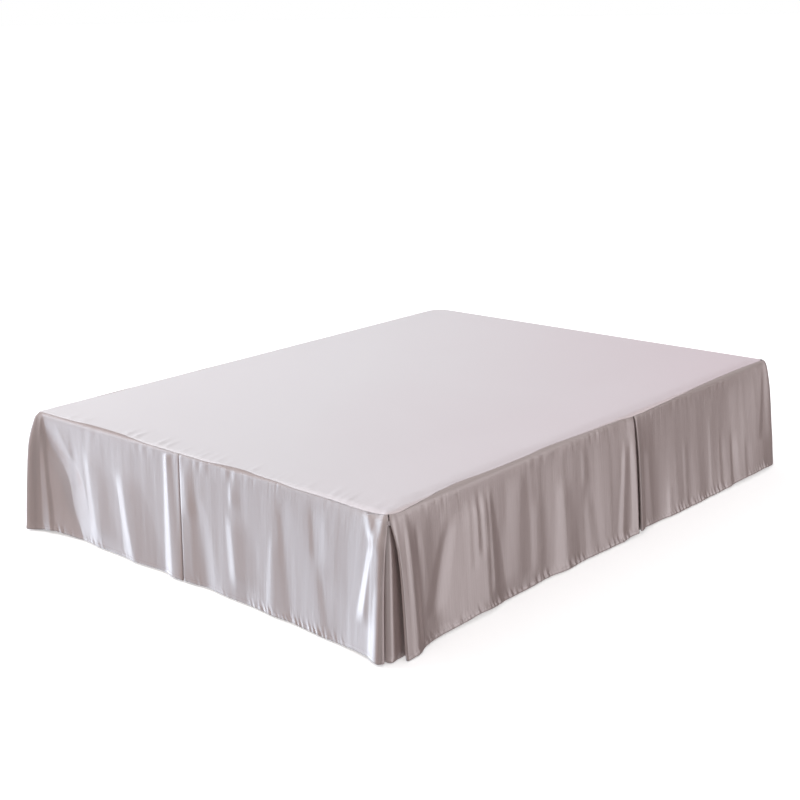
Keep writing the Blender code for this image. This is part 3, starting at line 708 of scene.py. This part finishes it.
def foot_corner(corner):
    """From the foot panel's last upright column round its folded edge and on behind both panels."""
    edge_top = CORNER_TOP - EDGE_GAP
    edge_hem = corner_walk(corner.foot_edge)
    back = CORNER_TOP - corner.depth
    gape = corner.gape
    return (fan(FOOT_STRAIGHT, edge_top, edge_hem, 0, 0.0)
            + folded_edge(edge_top, edge_hem, 1, 0, 1, gape)
            + fan(FOOT_STRAIGHT, edge_top, edge_hem, 1, gape)[::-1]
            + [Column(FOOT_STRAIGHT, FOOT_STRAIGHT, 0.0, 1, gape)]
            + straight(FOOT_STRAIGHT, back, 1, gape)
            + folded_edge(back, back, -1, 1, CORNER_UNDERLAY, gape)
            + straight(back, UNDERLAY_END, CORNER_UNDERLAY, gape)
            + [Column(UNDERLAY_END, UNDERLAY_END, 0.0, CORNER_UNDERLAY, gape)])


def flipped(columns):
    """The same run of cloth at the mirrored place, in the order left to right."""
    return [column._replace(top=-column.top, hem=-column.hem, step=-column.step)
            for column in reversed(columns)]


def foot_columns():
    """The foot drop, from the end of one underlay to the end of the other."""
    return (flipped(foot_corner(FAR_CORNER))
            + [Column(-FOOT_STRAIGHT, -FOOT_STRAIGHT, 0.0, 0, 0.0)]
            + straight(-FOOT_STRAIGHT, FOOT_PLEAT.left_top, 0)
            + inverted_pleat(FOOT_PLEAT)
            + straight(FOOT_PLEAT.right_hem, FOOT_STRAIGHT, 0)
            + [Column(FOOT_STRAIGHT, FOOT_STRAIGHT, 0.0, 0, 0.0)]
            + foot_corner(NEAR_CORNER))


def side_columns(corner, runs):
    """A side drop, from the end of its corner return to its hemmed end at the head."""
    edge_top = CORNER_TOP + EDGE_GAP
    gape = corner.gape
    end = sum(run.length for run in runs[:4]) + HEAD_WRAP
    return ([Column(UNDERLAY_END, UNDERLAY_END, 0.0, 1, gape)]
            + straight(UNDERLAY_END, SIDE_START, 1, gape)
            + [Column(SIDE_START, SIDE_START, 0.0, 1, gape)]
            + fan(SIDE_START, edge_top, SIDE_EDGE, 1, gape)
            + folded_edge(edge_top, SIDE_EDGE, -1, 1, 0, gape)
            + fan(SIDE_START, edge_top, SIDE_EDGE, 0, 0.0)[::-1]
            + [Column(SIDE_START, SIDE_START, 0.0, 0, 0.0)]
            + straight(SIDE_START, SIDE_PLEAT.left_top, 0)
            + inverted_pleat(SIDE_PLEAT)
            + straight(SIDE_PLEAT.right_hem, end, 0)
            + [Column(end, end, 0.0, 0, 0.0)])


side_count = len(side_columns(NEAR_CORNER, NEAR_RUNS))
print("columns:", len(foot_columns()), "at the foot,", side_count, "up a side")

# %% [markdown]
# ## Weaving the drops
#
# Blender's own grid gives the cloth its faces; we only say where each of its points goes. A UV map goes on
# at the same time, in metres along the cloth and down it, so that a weave can follow the cloth through its
# pleats. Solidify then gives the sheet its thickness, half to each side.

# %% Making a sheet of cloth
def link(name, work):
    """Turn a bmesh into a smooth object in the scene."""
    mesh = bpy.data.meshes.new(name)
    work.to_mesh(mesh)
    work.free()
    mesh.shade_smooth()
    piece = bpy.data.objects.new(name, mesh)
    bpy.context.scene.collection.objects.link(piece)
    return piece


def thicken(piece, thickness):
    """Give a sheet its thickness, half to each side of its middle."""
    solidify = piece.modifiers.new("cloth", "SOLIDIFY")
    solidify.thickness = thickness
    solidify.offset = 0.0
    solidify.use_rim = True


def make_drop(name, columns):
    """One drop, as a grid hung from the edge of the bed."""
    across, down = len(columns) - 1, ROWS - 1
    points = [[point(column, row) for row in range(ROWS)] for column in columns]
    middle = ROWS // 2
    along = [0.0]
    for one, two in zip(points, points[1:]):
        along.append(along[-1] + (two[middle] - one[middle]).length)
    work = bmesh.new()
    grid = bmesh.ops.create_grid(work, x_segments=across, y_segments=down, size=0.5, calc_uvs=True)
    threads = work.loops.layers.uv.verify()
    places = {}
    for vert in grid["verts"]:
        column, row = round((vert.co.x + 0.5) * across), round((0.5 - vert.co.y) * down)
        vert.co = points[column][row]
        places[vert] = (along[column], vert.co.z)
    for face in work.faces:
        for loop in face.loops:
            loop[threads].uv = places[loop.vert]
    piece = link(name, work)
    thicken(piece, CLOTH)
    print(name, "-", len(columns), "columns,", "%.2f m of cloth" % along[-1])
    return piece


foot_drop = make_drop("satin_foot_drop", foot_columns())
near_drop = make_drop("satin_near_side_drop", side_columns(NEAR_CORNER, NEAR_RUNS))
far_drop = make_drop("satin_far_side_drop", flipped(side_columns(FAR_CORNER, FAR_RUNS)))

# %% [markdown]
# ## The platform cloth
#
# This is one flat sheet with round corners whose edge is pulled down over the bed's edge to the seam. A
# square grid can be given round corners by squeezing its corner squares into quarter discs. The outer
# cells then bend down round the turn, as far as the seam says.

# %% The platform cloth's grid
DECK_COLUMNS = 310
DECK_ROWS = 150
EDGE_CELLS = 9             # cells from the flat of the deck to the seam
CREASE_ROWS = 46           # rows kept close together beside the foot seam
CREASE_REACH = 0.22

centres = {}
for sign_x in (-1, 1):
    head_radius = NEAR_HEAD_RADIUS if sign_x > 0 else FAR_HEAD_RADIUS
    for sign_y, radius in ((-1, FOOT_RADIUS), (1, head_radius)):
        centre = Vector((sign_x * (BED_WIDTH / 2 - radius), sign_y * (BED_LENGTH / 2 - radius)))
        centres[sign_x, sign_y] = (centre, radius)


def zone(index, last):
    """Where a grid line lies: its part of the way across the middle, and how far out in an edge zone."""
    if index < EDGE_CELLS:
        return 0.0, index / EDGE_CELLS - 1.0
    if index > last - EDGE_CELLS:
        return 1.0, 1.0 - (last - index) / EDGE_CELLS
    return (index - EDGE_CELLS) / (last - 2 * EDGE_CELLS), 0.0


def crowd(part):
    """Draw the rows together beside the foot."""
    share = CREASE_ROWS / (DECK_ROWS - 2 * EDGE_CELLS)
    reach = CREASE_REACH / BED_LENGTH
    if part < share:
        return part / share * reach
    return reach + (part - share) / (1.0 - share) * (1.0 - reach)


def deck_walk(direction, place):
    """The walk of the edge that a point of the deck's rim faces."""
    degrees = math.degrees(math.atan2(abs(direction.x), -direction.y))
    if degrees < 90.0 and abs(place.x) > FOOT_STRAIGHT - 0.001:
        walk = corner_walk(degrees)
    elif degrees < 90.0:
        return place.x
    else:
        walk = side_walk(min(place.y, BED_LENGTH / 2))
    return math.copysign(walk, place.x)


print("deck grid:", DECK_COLUMNS, "by", DECK_ROWS)

# %% [markdown]
# The stitches of the foot seam gather the platform cloth a little, so short creases run back from it on to
# the deck. They are sharpest at the seam and gone a hand's breadth behind it. Beside the near side a long
# low swell runs from foot to head, and from it the cloth slopes off to the edge.

# %% Creases of the deck
DECK_CREASE = 0.0042
DECK_CREASES_A_METRE = 46.0
DECK_CREASE_REACH = 0.105
CREASE_LEAN = 0.25         # the creases behind the foot seam slant
CREASE_LEAST = 0.08        # unevenness under this makes none
SIDE_CREASES_A_METRE = 24.0
SIDE_CREASE_REACH = 0.045
DECK_SWELL = 0.0008
NEAR_SWELL = 0.0045        # a long low swell beside the near side, from which the cloth slopes to the edge
NEAR_SLOPE = 0.055
NEAR_SWELL_BACK = 0.30
SWELL_FADE = 0.10          # the swells die away over this much cloth before an edge


def deck_height(place):
    """How far the platform cloth stands over or under its flat."""
    from_foot = place.y + BED_LENGTH / 2
    from_side = BED_WIDTH / 2 - abs(place.x)
    lean = place.x + CREASE_LEAN * from_foot
    patch = soft_step(0.55 + 0.9 * wander(place.x * 2.6, 0.0, 2.2) + 0.35 * place.x)
    foot = max(0.0, 1.0 - from_foot / DECK_CREASE_REACH) ** 1.5 * patch
    ruffled = wander(lean * DECK_CREASES_A_METRE, from_foot * 3.0, 4.4) - CREASE_LEAST
    crease = DECK_CREASE * foot * max(0.0, ruffled)
    side = max(0.0, 1.0 - from_side / SIDE_CREASE_REACH)
    crease += 0.5 * DECK_CREASE * side * wander(place.y * SIDE_CREASES_A_METRE, from_side * 6.0, 8.8)
    inside = soft_step(min(from_foot, from_side) / SWELL_FADE)
    swell = DECK_SWELL * wander(place.x * 2.4, place.y * 7.0, 6.1) * inside
    near = 0.0
    if place.x > 0.0:
        near = NEAR_SWELL * soft_step(from_side / NEAR_SLOPE) * soft_step(1.0 - from_side / NEAR_SWELL_BACK)
        near *= soft_step((from_foot - 0.02) / SWELL_FADE) * soft_step((BED_LENGTH - from_foot) / SWELL_FADE)
    return crease + swell + near


def make_deck():
    """The platform cloth, with its rim turned down to the seam all round."""
    work = bmesh.new()
    grid = bmesh.ops.create_grid(work, x_segments=DECK_COLUMNS, y_segments=DECK_ROWS, size=0.5, calc_uvs=True)
    threads = work.loops.layers.uv.verify()
    for vert in grid["verts"]:
        across, out_x = zone(round((vert.co.x + 0.5) * DECK_COLUMNS), DECK_COLUMNS)
        up, out_y = zone(round((vert.co.y + 0.5) * DECK_ROWS), DECK_ROWS)
        up = crowd(up)
        foot = centres[-1, -1][0].lerp(centres[1, -1][0], across)
        head = centres[-1, 1][0].lerp(centres[1, 1][0], across)
        place = foot.lerp(head, up)
        left = centres[-1, -1][1] + (centres[-1, 1][1] - centres[-1, -1][1]) * up
        right = centres[1, -1][1] + (centres[1, 1][1] - centres[1, -1][1]) * up
        radius = left + (right - left) * across
        reach = Vector((out_x * math.sqrt(1 - out_y ** 2 / 2), out_y * math.sqrt(1 - out_x ** 2 / 2)))
        height = TOP
        if reach.length > 0.0:
            direction = reach.normalized()
            walk = deck_walk(direction, place)
            flat = radius - TURN + pushed(walk)
            length = reach.length * (flat + math.radians(90.0 - post_at(walk).seam) * TURN - SEAM_GAP)
            turned = max(0.0, length - flat) / TURN
            place = place + direction * (min(length, flat) + TURN * math.sin(turned))
            height -= TURN * (1.0 - math.cos(turned))
        place.y += askew(place)
        vert.co = (place.x, place.y, height + deck_height(place) * (1.0 - 0.8 * soft_step(reach.length)))
    for face in work.faces:
        for loop in face.loops:
            loop[threads].uv = loop.vert.co.xy
    piece = link("plain_weave_deck", work)
    thicken(piece, CLOTH)
    return piece


deck = make_deck()
print("deck:", len(deck.data.polygons), "faces before it is thickened")

# %% [markdown]
# ## Stitches
#
# The hem is turned up and sewn with one row of stitches. Each stitch is a tiny bead of thread that sinks
# its ends into the cloth. A bead needs only a few faces, because there are hundreds of them, and they all
# go into one mesh for each drop. A bar of thread also ties the near corner's two edges together.

# %% Rows of stitches
STITCH_LENGTH = 0.0034
STITCH_WIDTH = 0.0009
STITCH_ROW = TURN_ROWS + len(TOP_ROWS) + MIDDLE_ROWS - 1 + len(HEM_ROWS) - 1 - HEM_ROWS.index(HEM_BAND)
TACK_STITCHES = 5
TACK_REACH = 0.0034        # how far each of them runs on to either edge
TACK_SPACING = 0.0024


def add_bead(work, start, end, width, facing):
    """A bead of thread from start to end, on the side of the cloth that it faces."""
    length = (end - start).length
    along = (end - start).normalized()
    across = facing.cross(along).normalized()
    turn = Matrix((along, across, along.cross(across))).transposed().to_4x4()
    size = Matrix.Diagonal((length / 2, width / 2, width / 2, 1.0))
    bmesh.ops.create_icosphere(work, subdivisions=1, radius=1.0,
                               matrix=Matrix.Translation((start + end) / 2) @ turn @ size)


def tack(work):
    """Stitches over the two folded edges of the near corner, which tie them together where they part."""
    row = TURN_ROWS + len(TOP_ROWS) - 1
    facing = bend(CORNER_TOP)[1].to_3d()
    left, right = (hang(CORNER_TOP + side * TACK_REACH, 0, 0.0, row) + facing * CLOTH / 2 for side in (-1, 1))
    for index in range(TACK_STITCHES):
        rise = Vector((0.0, 0.0, (index - (TACK_STITCHES - 1) / 2) * TACK_SPACING))
        add_bead(work, left + rise, right + rise, TACK_SPACING, facing)


def stitch_hem(name, columns, tacked=False):
    """A stitch between every two columns of a drop, all in one mesh."""
    work = bmesh.new()
    if tacked:
        tack(work)
    dots = [point(column, STITCH_ROW) for column in columns]
    above = [point(column, STITCH_ROW - 3) for column in columns]
    for one, two, over in zip(dots, dots[1:], above):
        if (two - one).length < STITCH_LENGTH * 0.6:
            continue
        facing = (two - one).cross(over - one).normalized()
        middle = (one + two) / 2 + facing * (CLOTH / 2)
        half = (two - one).normalized() * STITCH_LENGTH / 2
        add_bead(work, middle - half, middle + half, STITCH_WIDTH, facing)
    return link(name, work)


foot_stitches = stitch_hem("foot_hem_stitches", foot_columns(), tacked=True)
near_stitches = stitch_hem("near_side_hem_stitches", side_columns(NEAR_CORNER, NEAR_RUNS))
far_stitches = stitch_hem("far_side_hem_stitches", flipped(side_columns(FAR_CORNER, FAR_RUNS)))
print("stitches at the foot:", len(foot_stitches.data.polygons) // 20)

# %% [markdown]
# ## Writing shader maths as Python
#
# A material is a small program of nodes. Written out node by node it is hard to read, so this class wraps
# one output socket and overloads the arithmetic signs: an expression on values adds its Math nodes. Any
# other node comes from one method, which takes the node's type, its settings, and what its sockets get.

# %% A class for node values
class Value:
    """One output of a node, on which + - * / and clamp work."""

    def __init__(self, finish, socket):
        self.finish, self.socket = finish, socket

    def math(self, operation, *others):
        return self.finish.add("Math", {"operation": operation}, dict(enumerate((self,) + others)))

    def __add__(self, other):
        return self.math("ADD", other)

    def __sub__(self, other):
        return self.math("SUBTRACT", other)

    def __rsub__(self, other):
        return self.finish.add("Math", {"operation": "SUBTRACT"}, {0: other, 1: self})

    def __mul__(self, other):
        return self.math("MULTIPLY", other)

    def __truediv__(self, other):
        return self.math("DIVIDE", other)

    __radd__, __rmul__ = __add__, __mul__

    def clamp(self):
        return self.math("MAXIMUM", 0.0).math("MINIMUM", 1.0)


class Finish:
    """A material, with the methods that add its nodes."""

    def __init__(self, owner, shader="Principled BSDF"):
        owner.use_nodes = True
        self.owner, self.tree = owner, owner.node_tree
        self.shader = self.tree.nodes[shader]

    def add(self, kind, settings=None, sockets=None, output=0):
        """Any node: its type, its settings, and values or links for its sockets."""
        node = self.tree.nodes.new("ShaderNode" + kind)
        for name, value in (settings or {}).items():
            if name == "stops":
                node.color_ramp.elements.remove(node.color_ramp.elements[0])
                node.color_ramp.elements[0].position = value[0][0]
                node.color_ramp.elements[0].color = (*value[0][1], 1.0)
                for place, colour in value[1:]:
                    node.color_ramp.elements.new(place).color = (*colour, 1.0)
            else:
                setattr(node, name, value)
        for name, value in (sockets or {}).items():
            self.feed(node.inputs[name], value)
        return Value(self, node.outputs[output])

    def feed(self, socket, value):
        """Set a socket, or link it where the value comes from a node."""
        if isinstance(value, Value):
            self.tree.links.new(value.socket, socket)
        else:
            socket.default_value = value

    def set(self, name, value):
        """Set or link a socket of the surface shader itself."""
        self.feed(self.shader.inputs[name], value)

    def mix(self, share, one, two, blend="MIX"):
        """A colour between two colours."""
        colours = [colour if isinstance(colour, Value) else (*colour, 1.0) for colour in (one, two)]
        return self.add("Mix", {"data_type": "RGBA", "blend_type": blend},
                        {0: share, 6: colours[0], 7: colours[1]}, output=2)

    def noise(self, vector, scale, detail=2.0, roughness=0.5):
        """Smooth noise from 0 to 1."""
        return self.add("TexNoise", {}, {"Vector": vector, "Scale": scale, "Detail": detail,
                                         "Roughness": roughness})

    def stretched(self, vector, scale):
        """The same pattern drawn out by a different amount along each axis."""
        return self.add("Mapping", {}, {"Vector": vector, "Scale": scale})

    def streaks(self, vector, scale, detail=2.0, roughness=0.5):
        """Smooth noise, drawn out by a different amount along each axis."""
        return self.noise(self.stretched(vector, scale), 1.0, detail, roughness)

    def part(self, vector, axis):
        """One of the three numbers of a vector."""
        return self.add("SeparateXYZ", {}, {0: vector}, output=axis)

    def bump(self, height, distance, strength=1.0, normal=None):
        """A normal bent by a height, whose full step is distance metres."""
        sockets = {"Height": height, "Distance": distance, "Strength": strength}
        if normal is not None:
            sockets["Normal"] = normal
        return self.add("Bump", {}, sockets)


print("ready to mix finishes")

# %% [markdown]
# ## Satin
#
# Satin shines because its threads float over each other in one direction for a long way. Its highlight is
# not round: it is drawn out along the fall of the cloth, so folds show as upright streaks. An anisotropic
# shader does just that. The folds do most of the work; the nodes only add slubs in the thread, a weave that
# shows from close by, and a colour that varies a little at random.

# %% The satin finish
def make_satin():
    satin = Finish(bpy.data.materials.new("satin"))
    uv = satin.add("TexCoord", output=2)
    slub = satin.streaks(uv, (55.0, 2.5, 1.0), 3.0, 0.6)
    cloud = satin.streaks(uv, (5.0, 3.0, 1.0), 2.0)
    colour = satin.mix(cloud, (0.284, 0.200, 0.190), (0.315, 0.226, 0.214))
    colour = satin.mix(slub * 0.22, colour, (0.36, 0.28, 0.275))
    satin.set("Base Color", colour)
    satin.set("Roughness", 0.34 + slub * 0.08)
    satin.set("IOR", 2.8)
    satin.set("Specular IOR Level", 1.0)
    satin.set("Anisotropic", 0.75)
    satin.set("Anisotropic Rotation", 0.25)
    satin.set("Sheen Weight", 0.10)
    satin.set("Sheen Roughness", 0.4)
    floats = satin.add("TexWave", {"wave_type": "BANDS", "bands_direction": "X", "wave_profile": "SIN"},
                       {"Vector": uv, "Scale": 420.0, "Distortion": 0.6, "Detail": 0.0})
    lines = satin.streaks(uv, (160.0, 9.0, 1.0), 2.0)
    along = satin.part(uv, 0)
    height = satin.part(uv, 1)
    slanted = satin.add("CombineXYZ", {}, {0: along * 95.0 + height * 60.0, 1: height * 16.0})
    puckers = satin.noise(slanted, 1.0, 1.0) * (1.0 - height / HEM_PUCKER_REACH).clamp()
    gathers = satin.streaks(uv, (75.0, 9.0, 1.0), 1.0)
    patches = ((satin.streaks(uv, (5.0, 1.0, 1.0), 1.0) - 0.45) * 6.0).clamp()
    gathers = gathers * patches * ((height - (TOP - PUCKER_REACH)) / PUCKER_REACH).clamp()
    creased = satin.bump(puckers * patches + gathers * 0.3, 0.0050, 0.8, satin.bump(floats, 0.00005, 0.35))
    satin.set("Normal", satin.bump(lines, 0.0006, 0.55, creased))
    return satin.owner


satin = make_satin()
print("finish:", satin.name)

# %% [markdown]
# ## Plain weave
#
# The platform cloth hides under the mattress, so it is made of a plainer, matt cloth. Plain weave is a
# checker of warp and weft. Seen from a step away only the thicker threads of the weft show, as faint
# broken lines across the bed.

# %% The plain weave finish
def make_plain_weave():
    weave = Finish(bpy.data.materials.new("plain_weave"))
    uv = weave.add("TexCoord", output=2)
    warp = weave.add("TexWave", {"bands_direction": "X"}, {"Vector": uv, "Scale": 260.0})
    weft = weave.add("TexWave", {"bands_direction": "Y"}, {"Vector": uv, "Scale": 260.0})
    lines = weave.streaks(uv, (3.0, 110.0, 1.0), 3.0, 0.6)
    cloud = weave.streaks(uv, (1.3, 1.0, 1.0), 2.0)
    across = weave.part(uv, 0)
    back = weave.part(uv, 1)
    # Painted shade: besides a random cloud of tone, the deck is coloured darker and pinker towards the near
    # side and the head, standing in for light that falls off away from the left
    tint = (cloud * 0.4 + across / BED_WIDTH + back / BED_LENGTH * 0.77 - 0.03).clamp()
    colour = weave.mix(tint, (0.646, 0.621, 0.637), (0.604, 0.507, 0.538))
    colour = weave.mix(lines * 0.20, colour, (0.60, 0.55, 0.58))
    # Painted light: a lighter, warmer band along the near side's rim, where the cloth turns over the edge
    rim = ((across - (BED_WIDTH / 2 - TURN)) / (TURN * 0.8)).clamp()
    colour = weave.mix(rim * 0.6, colour, (0.74, 0.63, 0.62))
    weave.set("Base Color", colour)
    weave.set("Roughness", 0.82 - lines * 0.08)
    weave.set("Sheen Weight", 0.15)
    threads = weave.bump(warp * weft, 0.00008, 0.5)
    gathers = (weave.streaks(uv, (75.0, 9.0, 1.0), 1.0) - 0.45).clamp()
    gathers = gathers * ((-BED_LENGTH / 2 + 0.07 - back) / 0.07).clamp()
    weave.set("Normal", weave.bump(lines, 0.0004, 0.35, weave.bump(gathers, 0.004, 0.5, threads)))
    return weave.owner


plain_weave = make_plain_weave()
print("finish:", plain_weave.name)

# %% [markdown]
# ## Ticking, wood and thread
#
# The base under the skirt is covered with ticking, a tough twill. Its diagonal rib is one wave turned by
# 45 degrees. The legs are turned wood: rings stretched along the leg. Thread is the satin's colour, a
# shade darker and without the shine.

# %% The other finishes
def make_ticking():
    ticking = Finish(bpy.data.materials.new("ticking"))
    place = ticking.add("TexCoord", output=3)
    rib = ticking.add("TexWave", {"bands_direction": "DIAGONAL"}, {"Vector": place, "Scale": 190.0})
    cloud = ticking.noise(place, 9.0, 3.0)
    ticking.set("Base Color", ticking.mix(cloud, (0.74, 0.71, 0.67), (0.82, 0.80, 0.77)))
    ticking.set("Roughness", 0.86 + rib * 0.08)
    ticking.set("Sheen Weight", 0.2)
    ticking.set("Normal", ticking.bump(rib, 0.0003, 0.5))
    return ticking.owner


def make_wood():
    wood = Finish(bpy.data.materials.new("wood"))
    place = wood.add("TexCoord", output=3)
    grain = wood.streaks(place, (70.0, 70.0, 5.0), 4.0, 0.65)
    colour = wood.add("ValToRGB", {"stops": ((0.30, (0.20, 0.11, 0.06)), (0.52, (0.36, 0.22, 0.12)),
                                             (0.70, (0.46, 0.30, 0.17)))}, {0: grain})
    wood.set("Base Color", colour)
    wood.set("Roughness", 0.42 + grain * 0.2)
    wood.set("Normal", wood.bump(grain, 0.0004, 0.4))
    return wood.owner


def make_thread():
    thread = Finish(bpy.data.materials.new("thread"))
    place = thread.add("TexCoord", output=3)
    twist = thread.add("TexWave", {"bands_direction": "DIAGONAL"}, {"Vector": place, "Scale": 900.0})
    thread.set("Base Color", thread.mix(twist, (0.36, 0.31, 0.31), (0.44, 0.38, 0.38)))
    thread.set("Roughness", 0.6)
    thread.set("Normal", thread.bump(twist, 0.0001, 0.5))
    return thread.owner


ticking, wood, thread = make_ticking(), make_wood(), make_thread()
print("finishes:", ticking.name, wood.name, thread.name)

# %% [markdown]
# ## Putting the finishes on
#
# Each cloth stands for its solid in the frame and rides on the bed. The base and its legs have the right
# shape already, so they stay and only get a better material.

# %% Finishes and pieces
STITCHED = {foot_drop: foot_stitches, near_drop: near_stitches, far_drop: far_stitches}
STANDS_FOR = {
    deck: "deck_cloth",
    foot_drop: "foot_drop",
    near_drop: "near_side_drop",
    far_drop: "far_side_drop",
}

for piece, node in STANDS_FOR.items():
    piece.data.materials.append(plain_weave if piece is deck else satin)
    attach(piece, "root")
    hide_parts(node)
for piece in STITCHED.values():
    piece.data.materials.append(thread)
    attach(piece, "root")

for name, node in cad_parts.items():
    if name == "box_base" or name.startswith("leg_"):
        node.material_slots[0].material = ticking if name == "box_base" else wood

print("pieces dressed:", len(STANDS_FOR) + len(STITCHED))

# %% [markdown]
# ## Floor and light
#
# The bed stands on a pale floor. Satin is nearly a mirror drawn out along its threads, so what it shows is
# the room: a bright side wall, as from a window, shines in the foot, and a dim corner makes the long side
# brown. So the world here is a room whose walls have a brightness for each direction, under an even ceiling.
# A fold turns the cloth towards a lighter or a darker wall, and that is all that makes it a bright or a dark
# streak. A soft window and two broad suns, which the satin does not mirror, light the matt cloth.

# %% Floor, lights and tone
FLOOR_SIZE = 600.0
FLOOR_DROP = 0.0003        # the floor lies just under the legs
FLOOR_GLOW = 0.36


def make_floor():
    """A pale floor that runs past the horizon."""
    work = bmesh.new()
    bmesh.ops.create_grid(work, x_segments=1, y_segments=1, size=FLOOR_SIZE / 2)
    bmesh.ops.translate(work, verts=work.verts, vec=(0.0, 0.0, -FLOOR_DROP))
    floor = link("floor", work)
    paint = Finish(bpy.data.materials.new("floor_paint"))
    paint.set("Base Color", (0.93, 0.93, 0.93, 1.0))
    paint.set("Roughness", 0.9)
    paint.set("Emission Color", (1.0, 1.0, 1.0, 1.0))
    paint.set("Emission Strength", FLOOR_GLOW)
    floor.visible_glossy = False
    floor.data.materials.append(paint.owner)


def add_sun(name, towards, strength, spread, colour):
    """A broad, even light that shines from a direction."""
    light = bpy.data.lights.new(name, "SUN")
    light.energy = strength
    light.angle = math.radians(spread)
    light.color = colour
    lamp = bpy.data.objects.new(name, light)
    lamp.rotation_mode = "QUATERNION"
    lamp.rotation_quaternion = Vector(towards).to_track_quat("Z", "Y")
    lamp.visible_glossy = False
    bpy.context.scene.collection.objects.link(lamp)


def add_window(place, size, power):
    """A large soft window, brightest on what stands close to it."""
    light = bpy.data.lights.new("window", "AREA")
    light.shape, light.size, light.energy = "DISK", size, power
    lamp = bpy.data.objects.new("window", light)
    turn = Vector(place).to_track_quat("Z", "Y").to_matrix().to_4x4()
    lamp.matrix_world = Matrix.Translation(place) @ turn
    lamp.visible_camera = lamp.visible_glossy = False
    bpy.context.scene.collection.objects.link(lamp)


make_floor()
add_window((-3.4, -1.9, 1.9), 2.2, 60.0)
add_sun("window_glow", (-0.90, -0.35, 0.60), 0.8, 40.0, (0.97, 0.98, 1.0))
add_sun("front", (0.25, -0.75, 0.60), 0.6, 50.0, (1.0, 0.92, 0.89))

DARK = (1.0, 0.85, 0.81)
PALE = (0.98, 0.90, 0.92)
BRIGHT = (0.89, 1.00, 1.13)
Wall = namedtuple("Wall", "towards light tint")
WALLS = (
    Wall(-180, 0.05, DARK),
    Wall(-165, 0.06, DARK),
    Wall(-156, 0.07, DARK),        # what the far end of the near side mirrors
    Wall(-150, 0.09, DARK),
    Wall(-145, 0.17, DARK),
    Wall(-141, 0.40, DARK),        # what its near end mirrors
    Wall(-136, 0.90, PALE),
    Wall(-118, 1.04, PALE),
    Wall(-95, 0.45, PALE),
    Wall(-72, 0.14, DARK),
    Wall(-60, 0.12, DARK),
    Wall(-50, 0.45, PALE),         # a thin light that the underlay of the near corner mirrors
    Wall(-40, 0.12, DARK),
    Wall(0, 0.22, DARK),
    Wall(9, 0.29, DARK),           # what the flank of the left corner mirrors
    Wall(18, 0.35, DARK),
    Wall(30, 0.38, DARK),
    Wall(36, 0.44, DARK),
    Wall(42, 0.61, BRIGHT),        # what the foot mirrors at the near corner
    Wall(50, 0.74, BRIGHT),
    Wall(57, 1.02, BRIGHT),        # and at the left corner
    Wall(63, 1.52, BRIGHT),
    Wall(70, 2.40, BRIGHT),
    Wall(84, 3.40, BRIGHT),
    Wall(93, 2.60, BRIGHT),
    Wall(106, 0.80, BRIGHT),
    Wall(140, 0.35, DARK),
    Wall(180, 0.10, DARK),
)
WALL_TOP, WALL_FOOT = 1.3, 0.55    # the walls are brighter at eye level than near the floor


def make_room():
    """A room whose walls are lit unevenly, under an even ceiling; the camera sees plain white."""
    room = Finish(bpy.data.worlds.new("room"), "Background")
    towards = room.add("TexCoord")
    parts = [room.part(towards, axis) for axis in range(3)]
    turn = (parts[0] * -1.0).math("ARCTAN2", parts[1] * -1.0) / (2.0 * math.pi) + 0.5
    most = max(wall.light for wall in WALLS)
    stops = [(wall.towards / 360.0 + 0.5, [wall.light / most * part for part in wall.tint]) for wall in WALLS]
    walls = room.add("ValToRGB", {"stops": stops}, {0: turn})
    low, high = (room.mix(1.0, walls, (most * share,) * 3, blend="MULTIPLY")
                 for share in (WALL_FOOT, WALL_TOP))
    walls = room.mix((parts[2] / 0.40 + 1.0).clamp(), low, high)
    ceiling = ((parts[2] - 0.15) / 0.35).clamp()
    mirrored = room.add("LightPath", output=3)
    above = room.mix(mirrored, (0.735, 0.735, 0.745), (0.555, 0.51, 0.50))
    colour = room.mix(ceiling, walls, above)
    seen = room.add("LightPath")
    room.set("Color", room.mix(seen, colour, (1.0, 1.0, 1.0)))
    bpy.context.scene.world = room.owner


make_room()
bpy.context.scene.view_settings.view_transform = "Standard"
print("lights:", [item.name for item in bpy.context.scene.objects if item.type == "LIGHT"])

# %% [markdown]
# ## The camera
#
# The view is the photograph's: a long lens, a little over a metre and a half high, that looks at the near
# corner of the foot from the front right and slightly down.

# %% The camera
CAMERA_PLACE = (2.9552, -3.4455, 1.6122)
CAMERA_YAW = 131.49        # degrees from +X to where it looks, seen from above
CAMERA_PITCH = 15.63       # degrees down
CAMERA_ROLL = -0.95
LENS = 62.10               # millimetres, on a sensor 36 wide


def make_camera():
    yaw, pitch, roll = (math.radians(angle) for angle in (CAMERA_YAW, CAMERA_PITCH, CAMERA_ROLL))
    forward = Vector((math.cos(yaw) * math.cos(pitch), math.sin(yaw) * math.cos(pitch), -math.sin(pitch)))
    level = Vector((math.sin(yaw), -math.cos(yaw), 0.0))
    upright = level.cross(forward)
    right = math.cos(roll) * level + math.sin(roll) * upright
    up = -math.sin(roll) * level + math.cos(roll) * upright
    lens = bpy.data.cameras.new("camera")
    lens.sensor_width = 36.0
    lens.lens = LENS
    camera = bpy.data.objects.new("camera", lens)
    turn = Matrix((right, up, -forward)).transposed().to_4x4()
    camera.matrix_world = Matrix.Translation(CAMERA_PLACE) @ turn
    bpy.context.scene.collection.objects.link(camera)
    bpy.context.scene.camera = camera


make_camera()
print("camera at", CAMERA_PLACE)
